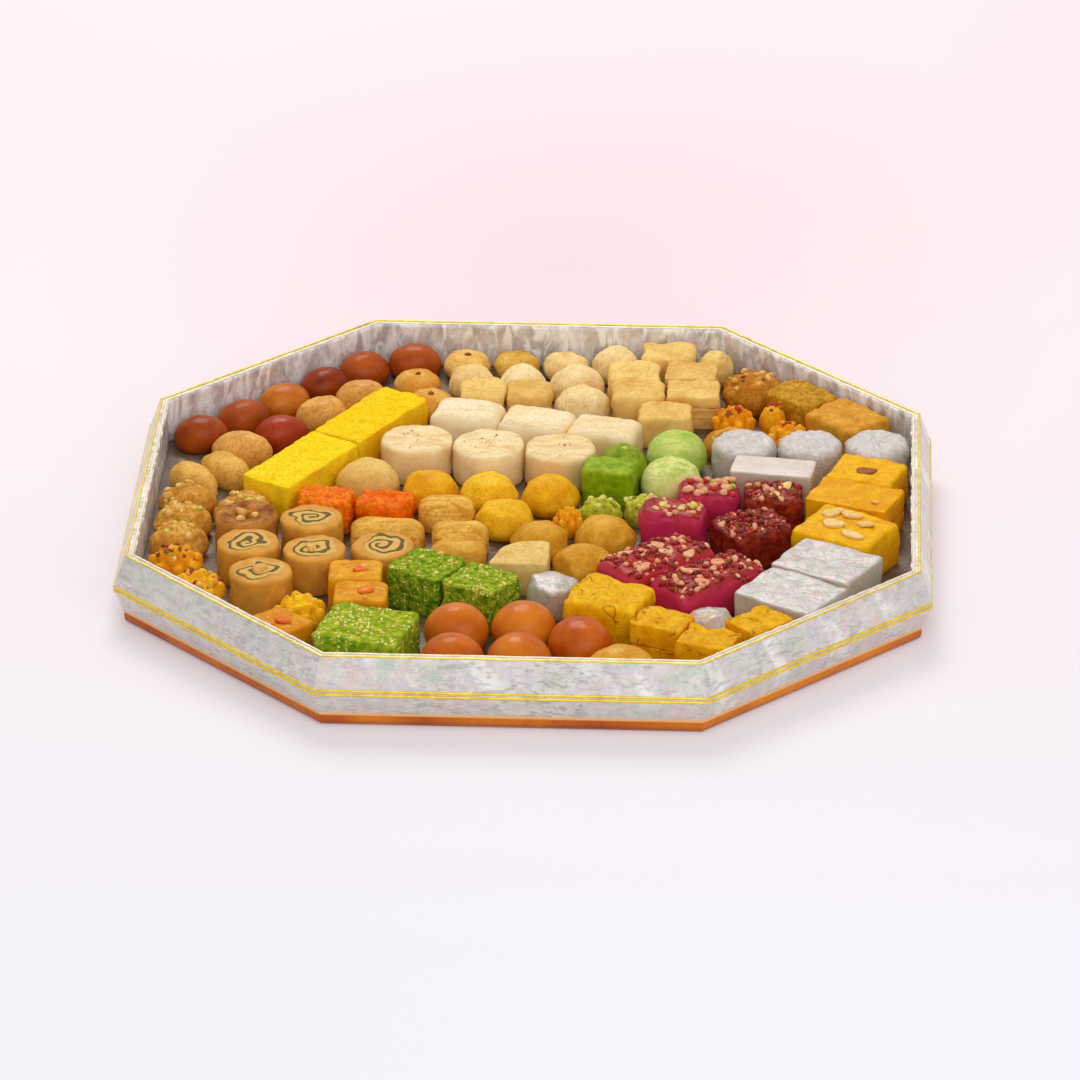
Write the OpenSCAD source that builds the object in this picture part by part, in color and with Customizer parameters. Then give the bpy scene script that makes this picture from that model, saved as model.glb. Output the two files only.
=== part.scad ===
// Octagonal presentation tray of assorted sweets.
// Millimetres, +Z up, front at -Y, origin at the middle of the underside.

/* [Layout] */
// Room that one sweet takes along a row; the tray holds twelve of them across
sweet_w = 36.5; // [30:0.5:45]
// Air left round each sweet so that it lifts out freely
pack_gap = 0.4; // [0.3:0.1:0.8]

/* [Tray] */
// Height of the brown base
base_h = 8.5; // [6:0.5:14]
// Rounding of the base's lower edge
base_round = 4; // [2:0.5:5]
// Height of the lower silver band, from the base to the gold beads
band_h = 12.5; // [9:0.5:20]
// How far the lower band draws in towards the base
band_inset = 5; // [1:0.5:5]
// Height of each gold bead
bead_h = 1.6; // [1.2:0.1:3]
// How far each gold bead stands out
bead_proud = 0.8; // [0.5:0.1:2]
// Dark groove between the two gold beads
bead_gap = 0.9; // [0.5:0.1:2]
// Height of the upper silver band, from the beads to the top edge
rim_h = 16.9; // [14:0.1:28]
// How far the upper band leans in
rim_lean = 6; // [2:0.5:12]
// Flat top edge of the wall
edge_w = 4.5; // [4:0.5:8]
// Width of the piping on each side of the top edge
piping_w = 1.6; // [1:0.1:1.9]
// Height of that piping
piping_h = 0.8; // [0.5:0.1:2]
// Thickness of the padded board that the sweets stand on
floor_t = 6; // [3:0.5:10]
// Thickness of the silver foil lining
foil_t = 0.4; // [0.3:0.05:0.8]
// Clearance round the floor board and its foil
slip = 0.2; // [0.1:0.05:0.3]

/* [Heights of the sweets] */
// Height of the round peda
peda_h = 20.5; // [15:0.5:23]
// Height of the dimpled peda and ring peda
ring_h = 18; // [13:0.5:22]
// Height of the big front jamun
front_jamun_h = 27.4; // [20:0.1:28]
// Height of the honey peda beside them
honey_h = 25.5; // [18:0.1:27]
// Height of the yellow bars and the cream bars
bar_h = 22.5; // [16:0.5:25]
// Height of the cream slices
slice_h = 22; // [16:0.5:24]
// Height of the orange crumble
crumble_h = 22; // [16:0.5:24]
// Height of the tan rolls
roll_h = 20; // [15:0.5:21]
// Height of the pinwheel rolls
pinwheel_h = 22.5; // [16:0.5:24]
// Height of the flower-shaped sweets
flower_h = 23.5; // [17:0.5:25]
// Height of the small squares with a red dot
square_h = 23.5; // [17:0.5:26]
// Height of the green burfi
green_h = 25.5; // [18:0.5:27]
// Height of the yellow burfi
burfi_h = 25.5; // [18:0.5:27]
// Height of the sweets under silver leaf
silver_h = 25.5; // [18:0.5:27]
// Height of the magenta bars and the red nut slabs
magenta_h = 24.5; // [18:0.5:27]
// Height of the saffron blocks
saffron_h = 25; // [18:0.5:27]
// Height of the lime rounds and the green ball
lime_h = 25; // [18:0.5:27]
// Height of the nut domes
nut_h = 22.5; // [16:0.5:25]
// Height of the pale slabs and rounds at the back
back_h = 20.5; // [15:0.5:24]
// Softening of the cut edges
soft = 1.6; // [0.8:0.1:2.4]
// Depth of the dimples
dimple = 2.2; // [1:0.1:3]

/* [Hidden] */
$fn = 48;
over = 10;

// Half of the tray's opening in sweets, and how far each long side reaches in halves of the opening
half_share = 6;
vertex_share = 0.47;
inner_half = half_share * sweet_w;
foil_half = inner_half + foil_t;
edge_half = foil_half + edge_w;
land_half = edge_half + rim_lean;
bead_half = land_half + bead_proud;
base_half = land_half - band_inset;

band_z = base_h;
land_z = band_z + band_h;
land_h = 2 * bead_h + bead_gap;
rim_z = land_z + land_h + rim_h;
board_z = base_h + floor_t;
floor_z = board_z + foil_t;

// Corner points of an octagon at a distance a from the middle, its sides parallel to the opening's
function reach(a) = vertex_share * inner_half + (a - inner_half) * tan(22.5);
function octagon(a) = let (v = reach(a))
    [[a, -v], [a, v], [v, a], [-v, a], [-a, v], [-a, -v], [-v, -a], [v, -a]];
// Distance of side i from the middle when the straight sides are at a
function side_distance(i, a) = i % 2 == 0 ? a : (a + reach(a)) / sqrt(2);

// Shape shares of the rounded sweets: width of the foot, height of the widest level, height kept of a lying oval
foot_share = 0.72;
waist_share = 0.4;
settle_share = 0.76;
petal_share = 0.1;
petals = 8;

// Places are [x, y, turn], x and y in rooms of one sweet from the tray's middle.
// Sizes are [length, width] or a diameter, in the same rooms.
jamun_share = [0.91, 0.7];
back_jamun_shares = [[-5.46, 2.68, 25], [-4.84, 3.33, 25], [-4.22, 3.98, 25], [-3.6, 4.63, 25],
    [-3.01, 5.27, 25], [-2.19, 5.64, 0]];
red_jamun_shares = [[-4.18, 2.76, 25]];
oval_share = [0.92, 0.74];
oval_shares = [[-3.56, 3.46, 25], [-2.96, 4.12, 25]];
pointed_share = [1.04, 0.7];
pointed_shares = [[-4.75, 2.13, -10]];
dimpled_share = 0.8;
dimpled_shares = [[-2.1, 4.8, 0], [-1.84, 4.02, 0], [-1.32, 5.59, 0]];
yellow_bar_share = [2.02, 0.93];
yellow_bar_front_shares = [[-3.72, 1.02, 60]];
yellow_bar_back_shares = [[-2.71, 2.77, 60]];
cream_bar_share = [1.14, 0.84];
cream_bar_shares = [[-1.16, 3.1, -14], [-0.05, 2.83, -14], [1.06, 2.56, -14]];
slice_share = 1.16;
slice_shares = [[-1.92, 1.9, 0], [-0.76, 1.78, 0], [0.4, 1.68, 0]];
cream_peda_share = [1.02, 0.86];
cream_peda_shares = [[-2.65, 0.95, 0]];
yellow_peda_share = 0.96;
yellow_peda_shares = [[-1.64, 0.7, 0], [-0.68, 0.66, 0], [0.28, 0.62, 0], [-0.4, -0.26, 0]];
crumble_share = [0.93, 0.74];
crumble_shares = [[-3.22, -0.15, -8], [-2.29, -0.2, -8]];
roll_share = [0.9, 0.68];
roll_shares = [[-1.33, -0.14, 0], [-1.06, -1.04, 0], [-1.06, -1.72, 0]];
long_roll_share = [1.18, 0.7];
long_roll_shares = [[-2.2, -0.99, 0]];
tan_peda_share = 1.0;
tan_peda_shares = [[0.2, -1.08, 0], [1.2, -0.84, 0], [0.9, -1.86, 0]];
wedge_share = [0.96, 0.86];
wedge_shares = [[-0.09, -2.05, 0]];
lump_share = 0.96;
lump_shares = [[0.48, -2.97, 0]];
pinwheel_share = 1.0;
pinwheel_shares = [[-3.38, -1.08, 0], [-2.2, -2.02, 0], [-4.3, -1.98, 0], [-4.02, -2.98, 0], [-3.26, -2.17, 0]];
open_roll_shares = [[-4.42, -0.98, 0]];
finger_share = [1.1, 0.64];
finger_shares = [[-4.94, 1.41, -50], [-5.43, 0.96, -50]];
mound_share = [0.96, 0.7];
mound_shares = [[-5.46, 0.12, 0], [-5.46, -0.59, 0], [-5.46, -1.3, 0], [-4.53, -0.13, 0]];
nut_flower_share = 0.94;
nut_flower_shares = [[-5.42, -2.12, 0], [-5.0, -2.98, 20]];
orange_flower_share = 0.92;
orange_flower_shares = [[-3.36, -3.72, 10]];
square_share = [0.84, 0.72];
square_shares = [[-2.56, -2.96, 0], [-2.43, -3.69, 0], [-3.58, -4.72, -45]];
green_square_share = [0.97, 0.92];
green_square_shares = [[-1.47, -2.76, -30], [-0.62, -3.25, -30]];
green_slab_share = [1.4, 1.24];
green_slab_shares = [[-2.27, -4.88, -15]];
front_jamun_share = 1.01;
front_jamun_shares = [[-0.94, -5.36, 0], [-0.92, -4.34, 0], [0.08, -5.3, 0], [0.09, -4.22, 0], [0.98, -4.72, 0]];
honey_share = [1.12, 0.88];
honey_shares = [[1.62, -5.52, 0]];
yellow_burfi_share = [1.2, 1.04];
yellow_burfi_shares = [[1.4, -3.66, -20]];
thin_burfi_share = [0.86, 0.7];
thin_burfi_shares = [[2.22, -4.52, -22], [2.92, -5.1, -22], [3.68, -4.48, 45]];
silver_slab_share = [1.4, 1.14];
silver_slab_shares = [[4.68, -2.4, -30], [4.14, -3.46, -32]];
grey_lump_share = 0.82;
grey_lump_shares = [[2.94, -3.92, 0]];
magenta_bar_share = [1.78, 0.96];
magenta_bar_shares = [[2.04, -2.22, 40], [2.86, -2.8, 40]];
magenta_wedge_share = [1.05, 0.8];
magenta_wedge_shares = [[2.27, -0.54, -5]];
pink_wedge_share = [1.0, 0.72];
pink_wedge_shares = [[2.8, 0.24, 0]];
nut_slab_share = [1.11, 0.98];
nut_slab_shares = [[3.49, -1.0, 30]];
small_nut_slab_share = [0.96, 0.74];
small_nut_slab_shares = [[3.82, 0.16, 0]];
dimple_burfi_share = [1.12, 0.95];
dimple_burfi_shares = [[5.28, 0.92, -20]];
yellow_block_share = [1.38, 0.9];
yellow_block_shares = [[5.1, -0.02, -20]];
almond_block_share = [1.36, 1.16];
almond_block_shares = [[4.96, -1.18, -30]];
disc_share = 1.04;
disc_shares = [[3.32, 1.88, 0], [4.38, 1.9, 0], [5.44, 1.95, 0]];
pale_slab_share = [1.32, 0.66];
pale_slab_shares = [[3.8, 0.94, -8]];
lime_share = 0.98;
lime_shares = [[2.24, 2.06, 0], [2.18, 1.06, 0]];
green_ball_share = 0.8;
green_ball_shares = [[1.4, 1.6, 0]];
green_block_share = [0.84, 0.66];
green_block_shares = [[1.22, 0.88, -10]];
pistachio_share = [0.74, 0.6];
pistachio_shares = [[1.8, 0.24, 0], [1.08, 0.1, 0]];
small_flower_share = 0.54;
small_flower_shares = [[0.6, -0.3, 0]];
nut_dome_share = 1.04;
nut_dome_shares = [[3.42, 4.58, 0]];
brown_oval_share = [0.9, 0.66];
brown_oval_shares = [[3.08, 2.7, 0]];
olive_slab_share = [1.0, 0.79];
olive_slab_shares = [[4.22, 3.92, -45]];
orange_slab_share = [1.14, 0.92];
orange_slab_shares = [[4.96, 3.1, -45]];
back_flower_share = 0.78;
back_flower_shares = [[3.12, 3.42, 0], [4.02, 2.84, 15]];
nut_bit_share = 0.46;
nut_bit_shares = [[3.76, 3.5, 0]];
corner_bit_share = 0.6;
corner_bit_shares = [[2.78, 5.52, 0]];
ring_share = 0.78;
ring_shares = [[-0.5, 5.59, 0], [0.31, 5.59, 0]];
round_share = 0.79;
round_shares = [[1.12, 5.59, 0], [-1.2, 4.78, 0], [-0.36, 4.78, 0]];
big_round_share = [0.94, 0.78];
big_round_shares = [[0.52, 4.78, 0], [0.64, 3.99, 0]];
back_slab_share = [0.88, 0.74];
back_slab_shares = [[2.0, 5.57, 0], [1.47, 4.8, 0], [1.56, 4.05, 0], [2.02, 3.28, 0]];
cube_share = [0.74, 0.72];
cube_shares = [[-0.98, 4.0, 0], [-0.22, 3.98, 0]];
fold_share = [0.88, 0.74];
fold_shares = [[2.4, 4.81, 0], [2.45, 4.06, 0]];
folds = 3;

// Tray shapes

module octagon_ring(a_in, a_out, z, h) {
    translate([0, 0, z])
        linear_extrude(height = h)
            difference() {
                polygon(octagon(a_out));
                polygon(octagon(a_in));
            }
}

// A slab through the tray whose two long faces are a pair of opposite sides
module side_pair(i, points) {
    rotate([90, 0, 45 * i + 90])
        linear_extrude(height = 4 * land_half, center = true)
            polygon(points);
}

// Half of the base's outline on one side: straight above, rounded below
function base_outline(d) = concat(
    [for (t = [0:30:90]) [d - base_round * (1 - sin(t)), base_round * (1 - cos(t))]],
    [[d, base_h]]);

module base_plate() {
    color("chocolate")
        intersection_for (i = [0:3]) {
            d = side_distance(i, base_half);
            half = base_outline(d);
            last = len(half) - 1;
            side_pair(i, concat(half, [for (k = [last:-1:0]) [-half[k][0], half[k][1]]]));
        }
}

// Wall i: the section of the wall along side i, side 0 facing +X, cut on the mitres at its two ends
module wall(i) {
    d = side_distance(i, foil_half);
    foot = base_half - foil_half;
    land = land_half - foil_half;
    section = [[d, band_z], [d + foot, band_z], [d + land, land_z], [d + land, land_z + land_h],
        [d + edge_w, rim_z], [d, rim_z]];
    outer = octagon(land_half + over);
    inner = octagon(foil_half - over);
    color("gainsboro")
        intersection() {
            rotate([90, 0, 45 * i])
                linear_extrude(height = 2 * land_half, center = true)
                    polygon(section);
            translate([0, 0, band_z - over])
                linear_extrude(height = rim_z + over)
                    polygon([inner[i], outer[i], outer[(i + 1) % 8], inner[(i + 1) % 8]]);
        }
}

module right_wall() { wall(0); }
module back_right_wall() { wall(1); }
module back_wall() { wall(2); }
module back_left_wall() { wall(3); }
module left_wall() { wall(4); }
module front_left_wall() { wall(5); }
module front_wall() { wall(6); }
module front_right_wall() { wall(7); }

module floor_board() {
    color("tan")
        translate([0, 0, base_h])
            linear_extrude(height = floor_t)
                polygon(octagon(foil_half - slip));
}

module floor_foil() {
    color("silver")
        translate([0, 0, board_z])
            linear_extrude(height = foil_t)
                polygon(octagon(inner_half - slip));
}

module wall_foil() {
    color("silver")
        octagon_ring(inner_half, foil_half, board_z, rim_z - board_z);
}

module gold_beads() {
    color("gold")
        for (k = [0, 1])
            octagon_ring(land_half, bead_half, land_z + k * (bead_h + bead_gap), bead_h);
}

module rim_piping() {
    color("gold")
        octagon_ring(edge_half - piping_w, edge_half, rim_z, piping_h);
}

module inner_piping() {
    color("cornsilk")
        octagon_ring(inner_half, inner_half + piping_w, rim_z, piping_h);
}

// Sweet shapes, each standing on its own floor at z = 0

function across(share) = share * sweet_w - pack_gap;

module at_places(places) {
    for (p = places)
        translate([p[0] * sweet_w, p[1] * sweet_w, floor_z])
            rotate([0, 0, p[2]])
                children();
}

// Points up the side of a bun of diameter d and height h, from its foot to its top
function bun_side(d, h, last) = let (t0 = acos(foot_share)) concat(
    [for (t = [-t0, -t0 / 2]) [d / 2 * cos(t), waist_share * h * (1 + sin(t) / sin(t0))]],
    [for (t = [0:15:last]) [d / 2 * cos(t), h * (waist_share + (1 - waist_share) * sin(t))]]);

module bun(d, h) {
    rotate_extrude()
        polygon(concat([[0, 0]], bun_side(d, h, 75), [[0, h]]));
}

// A bun that is longer than it is wide
module long_bun(size, h) {
    scale([across(size[0]) / across(size[1]), 1, 1])
        bun(across(size[1]), h);
}

// A bun with a thumb mark in its top
module dimpled_bun(d, h) {
    rotate_extrude()
        polygon(concat([[0, 0]], bun_side(d, h, 60), [[0, h - dimple]]));
}

// A lying oval, round in section, settled on a flat foot
module oval(size) {
    l = across(size[0]);
    w = across(size[1]);
    h = w * settle_share;
    intersection() {
        translate([0, 0, h - w / 2])
            rotate([0, 90, 0])
                rotate_extrude()
                    polygon(concat([[0, -l / 2]],
                        [for (t = [-75:15:75]) [w / 2 * cos(t), l / 2 * sin(t)]], [[0, l / 2]]));
        translate([-l, -w, 0])
            cube([2 * l, 2 * w, h + w]);
    }
}

module disc(d, h, edge) {
    rotate_extrude()
        polygon([[0, 0], [d / 2 - edge, 0], [d / 2, edge], [d / 2, h - edge], [d / 2 - edge, h], [0, h]]);
}

// Outline of a cut block, its corners clipped by c
function clipped(l, w, c) = [[l - c, w], [c - l, w], [-l, w - c], [-l, c - w], [c - l, -w], [l - c, -w],
    [l, c - w], [l, w - c]] / 2;

module block(l, w, h) {
    intersection() {
        linear_extrude(height = h)
            polygon(clipped(l, w, 2 * soft));
        rotate([90, 0, 90])
            linear_extrude(height = l + over, center = true)
                polygon([[-w / 2, 0], [w / 2, 0], [w / 2, h - soft], [w / 2 - soft, h],
                    [soft - w / 2, h], [-w / 2, h - soft]]);
    }
}

module slab(size, h) {
    block(across(size[0]), across(size[1]), h);
}

// A pile of n thin sheets with a notch along each joint, on its long sides
function pile_side(w, h, n) = [for (k = [0:n - 1]) each [[w / 2 - soft / 2, k * h / n],
    [w / 2, k * h / n + soft / 2], [w / 2, (k + 1) * h / n - soft / 2]]];

module pile(size, h, n) {
    l = across(size[0]);
    w = across(size[1]);
    side = concat(pile_side(w, h, n), [[w / 2 - soft / 2, h]]);
    last = len(side) - 1;
    intersection() {
        linear_extrude(height = h)
            polygon(clipped(l, w, 2 * soft));
        rotate([90, 0, 90])
            linear_extrude(height = l + over, center = true)
                polygon(concat(side, [for (k = [last:-1:0]) [-side[k][0], side[k][1]]]));
    }
}

// A lying roll with a flat foot
module roll(size) {
    l = across(size[0]);
    d = across(size[1]);
    r = d / 2;
    t0 = asin((roll_h - r) / r);
    rotate([90, 0, 90])
        linear_extrude(height = l, center = true)
            polygon([for (k = [0:24]) let (t = -t0 + k * (180 + 2 * t0) / 24)
                [r * cos(t), roll_h - r + r * sin(t)]]);
}

// A flower: scalloped petals round a raised middle
module flower(d, h) {
    linear_extrude(height = h * (1 - petal_share * 2))
        polygon([for (t = [0:7.5:352.5]) d / 2 * (1 - petal_share * (1 - cos(petals * t)) / 2) * [cos(t), sin(t)]]);
    disc(d * (1 - petal_share * 4), h, soft);
}

// A wedge cut from a round cheese
module wedge(size, h) {
    l = across(size[0]);
    w = across(size[1]);
    linear_extrude(height = h)
        polygon([[-l / 2, -w / 2 + soft], [-l / 2 + soft, -w / 2], [l / 2 - soft, -w / 2], [l / 2, soft - w / 2],
            [l / 2, w / 2 - soft], [l / 2 - soft, w / 2], [0, w / 2 - soft], [-l / 4, w / 4]]);
}

// An eight-sided lump with a bevelled top
module lump(d, h) {
    intersection() {
        linear_extrude(height = h)
            polygon([for (t = [22.5:45:337.5]) d / 2 * [cos(t), sin(t)]]);
        disc(d, h, 2 * soft);
    }
}

// Sweets, from the back left round to the front

module back_jamun() { color("saddlebrown") at_places(back_jamun_shares) oval(jamun_share); }
module red_jamun() { color("brown") at_places(red_jamun_shares) oval(jamun_share); }

module tan_ovals() {
    color("peru") {
        at_places(oval_shares) oval(oval_share);
        at_places(pointed_shares) oval(pointed_share);
    }
}

module dimpled_peda() { color("burlywood") at_places(dimpled_shares) dimpled_bun(across(dimpled_share), ring_h); }
module yellow_bar_front() { color("yellow") at_places(yellow_bar_front_shares) slab(yellow_bar_share, bar_h); }
module yellow_bar_back() { color("yellow") at_places(yellow_bar_back_shares) slab(yellow_bar_share, bar_h); }
module cream_bars() { color("antiquewhite") at_places(cream_bar_shares) slab(cream_bar_share, bar_h); }
module cream_slices() { color("antiquewhite") at_places(slice_shares) disc(across(slice_share), slice_h, soft); }
module cream_peda() { color("moccasin") at_places(cream_peda_shares) oval(cream_peda_share); }
module yellow_peda() { color("khaki") at_places(yellow_peda_shares) bun(across(yellow_peda_share), peda_h); }
module orange_crumble() { color("darkorange") at_places(crumble_shares) slab(crumble_share, crumble_h); }

module tan_rolls() {
    color("burlywood") {
        at_places(roll_shares) roll(roll_share);
        at_places(long_roll_shares) roll(long_roll_share);
    }
}

module tan_peda() { color("goldenrod") at_places(tan_peda_shares) bun(across(tan_peda_share), peda_h); }
module cream_wedge() { color("wheat") at_places(wedge_shares) wedge(wedge_share, peda_h); }
module silver_lump() { color("silver") at_places(lump_shares) lump(across(lump_share), peda_h); }
module pinwheel_rolls() { color("tan") at_places(pinwheel_shares) disc(across(pinwheel_share), pinwheel_h, soft); }
module open_roll() { color("tan") at_places(open_roll_shares) disc(across(pinwheel_share), pinwheel_h, soft); }
module left_fingers() { color("burlywood") at_places(finger_shares) oval(finger_share); }
module left_mounds() { color("goldenrod") at_places(mound_shares) oval(mound_share); }
module nut_flowers() { color("chocolate") at_places(nut_flower_shares) flower(across(nut_flower_share), flower_h); }

module orange_flower() {
    color("orange")
        at_places(orange_flower_shares)
            flower(across(orange_flower_share), flower_h);
}

module red_dot_squares() { color("orange") at_places(square_shares) slab(square_share, square_h); }
module green_squares() { color("olivedrab") at_places(green_square_shares) slab(green_square_share, green_h); }
module green_slab() { color("yellowgreen") at_places(green_slab_shares) slab(green_slab_share, green_h); }

module front_jamun() {
    color("sienna")
        at_places(front_jamun_shares)
            bun(across(front_jamun_share), front_jamun_h);
}

module honey_peda() { color("goldenrod") at_places(honey_shares) long_bun(honey_share, honey_h); }
module yellow_burfi() { color("gold") at_places(yellow_burfi_shares) slab(yellow_burfi_share, burfi_h); }
module thin_burfi() { color("gold") at_places(thin_burfi_shares) pile(thin_burfi_share, burfi_h, 2); }

module silver_slabs() {
    color("gainsboro") {
        at_places(silver_slab_shares) slab(silver_slab_share, silver_h);
        at_places(grey_lump_shares) bun(across(grey_lump_share), peda_h);
    }
}

module magenta_bars() { color("mediumvioletred") at_places(magenta_bar_shares) slab(magenta_bar_share, magenta_h); }

module magenta_wedges() {
    color("mediumvioletred") {
        at_places(magenta_wedge_shares) slab(magenta_wedge_share, magenta_h);
        at_places(pink_wedge_shares) slab(pink_wedge_share, magenta_h);
    }
}

module red_nut_slabs() {
    color("firebrick") {
        at_places(nut_slab_shares) slab(nut_slab_share, magenta_h);
        at_places(small_nut_slab_shares) slab(small_nut_slab_share, magenta_h);
    }
}

module dimple_burfi() {
    d = 6 * dimple;
    color("orange")
        at_places(dimple_burfi_shares)
            difference() {
                slab(dimple_burfi_share, saffron_h);
                translate([0, 0, saffron_h - dimple + d / 2])
                    sphere(d = d);
            }
}

module yellow_block() { color("orange") at_places(yellow_block_shares) slab(yellow_block_share, saffron_h); }
module almond_block() { color("orange") at_places(almond_block_shares) slab(almond_block_share, burfi_h); }
module silver_discs() { color("lavender") at_places(disc_shares) disc(across(disc_share), silver_h, 2 * soft); }
module pale_slab() { color("lavenderblush") at_places(pale_slab_shares) slab(pale_slab_share, silver_h); }
module lime_rounds() { color("lightgreen") at_places(lime_shares) bun(across(lime_share), lime_h); }

module dark_green_pair() {
    color("forestgreen") {
        at_places(green_ball_shares) bun(across(green_ball_share), lime_h);
        at_places(green_block_shares) slab(green_block_share, green_h);
    }
}

module pistachio_pieces() {
    color("yellowgreen") {
        at_places(pistachio_shares) oval(pistachio_share);
        at_places(small_flower_shares) flower(across(small_flower_share), peda_h);
    }
}

module nut_clusters() {
    color("darkgoldenrod") {
        at_places(nut_dome_shares) bun(across(nut_dome_share), nut_h);
        at_places(brown_oval_shares) oval(brown_oval_share);
        at_places(olive_slab_shares) slab(olive_slab_share, nut_h);
        at_places(orange_slab_shares) slab(orange_slab_share, nut_h);
    }
}

module orange_flowers() {
    color("darkorange") {
        at_places(back_flower_shares) flower(across(back_flower_share), flower_h);
        at_places(nut_bit_shares) bun(across(nut_bit_share), peda_h);
        at_places(corner_bit_shares) bun(across(corner_bit_share), peda_h);
    }
}

module back_rounds() {
    color("navajowhite") {
        at_places(ring_shares) dimpled_bun(across(ring_share), ring_h);
        at_places(round_shares) bun(across(round_share), back_h);
        at_places(big_round_shares) oval(big_round_share);
    }
}

module back_slabs() {
    color("wheat") {
        at_places(back_slab_shares) slab(back_slab_share, back_h);
        at_places(cube_shares) slab(cube_share, back_h);
        at_places(fold_shares) pile(fold_share, back_h, folds);
    }
}

base_plate();
floor_board();
front_wall();
front_right_wall();
right_wall();
back_right_wall();
back_wall();
back_left_wall();
left_wall();
front_left_wall();
gold_beads();
rim_piping();
inner_piping();
wall_foil();
floor_foil();
back_jamun();
red_jamun();
tan_ovals();
dimpled_peda();
yellow_bar_front();
yellow_bar_back();
cream_bars();
cream_slices();
cream_peda();
yellow_peda();
orange_crumble();
tan_rolls();
tan_peda();
cream_wedge();
silver_lump();
pinwheel_rolls();
open_roll();
left_fingers();
left_mounds();
nut_flowers();
orange_flower();
red_dot_squares();
green_squares();
green_slab();
front_jamun();
honey_peda();
yellow_burfi();
thin_burfi();
silver_slabs();
magenta_bars();
magenta_wedges();
red_nut_slabs();
dimple_burfi();
yellow_block();
almond_block();
silver_discs();
pale_slab();
lime_rounds();
dark_green_pair();
pistachio_pieces();
nut_clusters();
orange_flowers();
back_rounds();
back_slabs();
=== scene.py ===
import math
import random
import bmesh
import bpy
import numpy as np
from mathutils import Matrix, Vector, noise
from mathutils.bvhtree import BVHTree


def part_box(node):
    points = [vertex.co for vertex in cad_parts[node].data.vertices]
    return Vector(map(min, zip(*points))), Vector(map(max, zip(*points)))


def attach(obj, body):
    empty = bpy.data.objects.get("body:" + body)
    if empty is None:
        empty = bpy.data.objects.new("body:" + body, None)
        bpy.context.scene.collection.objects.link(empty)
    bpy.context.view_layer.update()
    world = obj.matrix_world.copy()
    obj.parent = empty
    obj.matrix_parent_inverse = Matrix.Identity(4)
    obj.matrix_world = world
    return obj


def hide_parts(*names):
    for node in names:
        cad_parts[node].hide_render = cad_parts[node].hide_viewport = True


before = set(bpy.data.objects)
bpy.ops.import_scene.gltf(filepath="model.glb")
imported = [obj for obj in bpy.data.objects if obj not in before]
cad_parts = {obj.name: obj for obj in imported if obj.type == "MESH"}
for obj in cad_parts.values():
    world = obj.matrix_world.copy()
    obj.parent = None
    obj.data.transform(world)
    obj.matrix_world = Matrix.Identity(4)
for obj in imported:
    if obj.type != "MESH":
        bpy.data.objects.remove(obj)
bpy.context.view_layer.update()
scene = bpy.context.scene

viewSettings = {
    "lookAt": (0.0052, 0.0002, 0.006),
    "elevation": 26.1,
    "turn": 2.7,
    "distance": 4.0,
    "frameWidth": 0.6232,  # what the picture is wide at the tray
    "sensor": 36.0,
    "reach": 50.0,
}


def aim(obj, target):
    direction = Vector(target) - obj.location
    obj.rotation_euler = direction.to_track_quat("-Z", "Y").to_euler()


def makeCamera():
    data = bpy.data.cameras.new("camera")
    cam = bpy.data.objects.new("camera", data)
    scene.collection.objects.link(cam)
    up = math.radians(viewSettings["elevation"])
    turn = math.radians(viewSettings["turn"])
    away = viewSettings["distance"]
    look = viewSettings["lookAt"]
    cam.location = (
        look[0] + away * math.cos(up) * math.sin(turn),
        look[1] - away * math.cos(up) * math.cos(turn),
        look[2] + away * math.sin(up),
    )
    aim(cam, look)
    data.sensor_width = viewSettings["sensor"]
    data.lens = viewSettings["sensor"] * away / viewSettings["frameWidth"]
    data.clip_end = viewSettings["reach"]
    scene.camera = cam


makeCamera()
scene.view_settings.view_transform = "Standard"


def rgb(red, green, blue):
    def linear(value):
        value = value / 255.0
        return value / 12.92 if value <= 0.04045 else ((value + 0.055) / 1.055) ** 2.4

    return (linear(red), linear(green), linear(blue), 1.0)


def darker(colour, share):
    return tuple(part * share for part in colour[:3]) + (1.0,)


def add(tree, kind, **values):
    node = tree.nodes.new(kind)
    for key, value in values.items():
        setattr(node, key, value)
    return node


def feed(tree, source, target):
    tree.links.new(source, target)


# A socket takes a link or a constant
def put(tree, value, socket):
    if hasattr(value, "links"):
        feed(tree, value, socket)
    else:
        socket.default_value = value


def newGroup(name, inputs, outputs):
    tree = bpy.data.node_groups.new(name, "ShaderNodeTree")
    for label, kind, value in inputs:
        socket = tree.interface.new_socket(name=label, in_out="INPUT", socket_type=kind)
        socket.default_value = value
    for label, kind in outputs:
        tree.interface.new_socket(name=label, in_out="OUTPUT", socket_type=kind)
    start = tree.nodes.new("NodeGroupInput")
    end = tree.nodes.new("NodeGroupOutput")
    return tree, start, end


def useGroup(tree, group, **values):
    node = tree.nodes.new("ShaderNodeGroup")
    node.node_tree = group
    for key, value in values.items():
        node.inputs[key].default_value = value
    return node


def mixColour(tree, factor, first, second, blend="MIX"):
    node = add(tree, "ShaderNodeMix", data_type="RGBA", blend_type=blend)
    for index, value in ((0, factor), (6, first), (7, second)):
        put(tree, value, node.inputs[index])
    return node.outputs[2]


def mixValue(tree, factor, first, second):
    node = add(tree, "ShaderNodeMix", data_type="FLOAT")
    for index, value in ((0, factor), (2, first), (3, second)):
        put(tree, value, node.inputs[index])
    return node.outputs[0]


def maths(tree, operation, first, second=None, clamp=False):
    node = add(tree, "ShaderNodeMath", operation=operation, use_clamp=clamp)
    put(tree, first, node.inputs[0])
    if second is not None:
        put(tree, second, node.inputs[1])
    return node.outputs[0]


# The first value and a share of the second
def plus(tree, first, second, share):
    return maths(tree, "ADD", first, maths(tree, "MULTIPLY", second, share))


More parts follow.
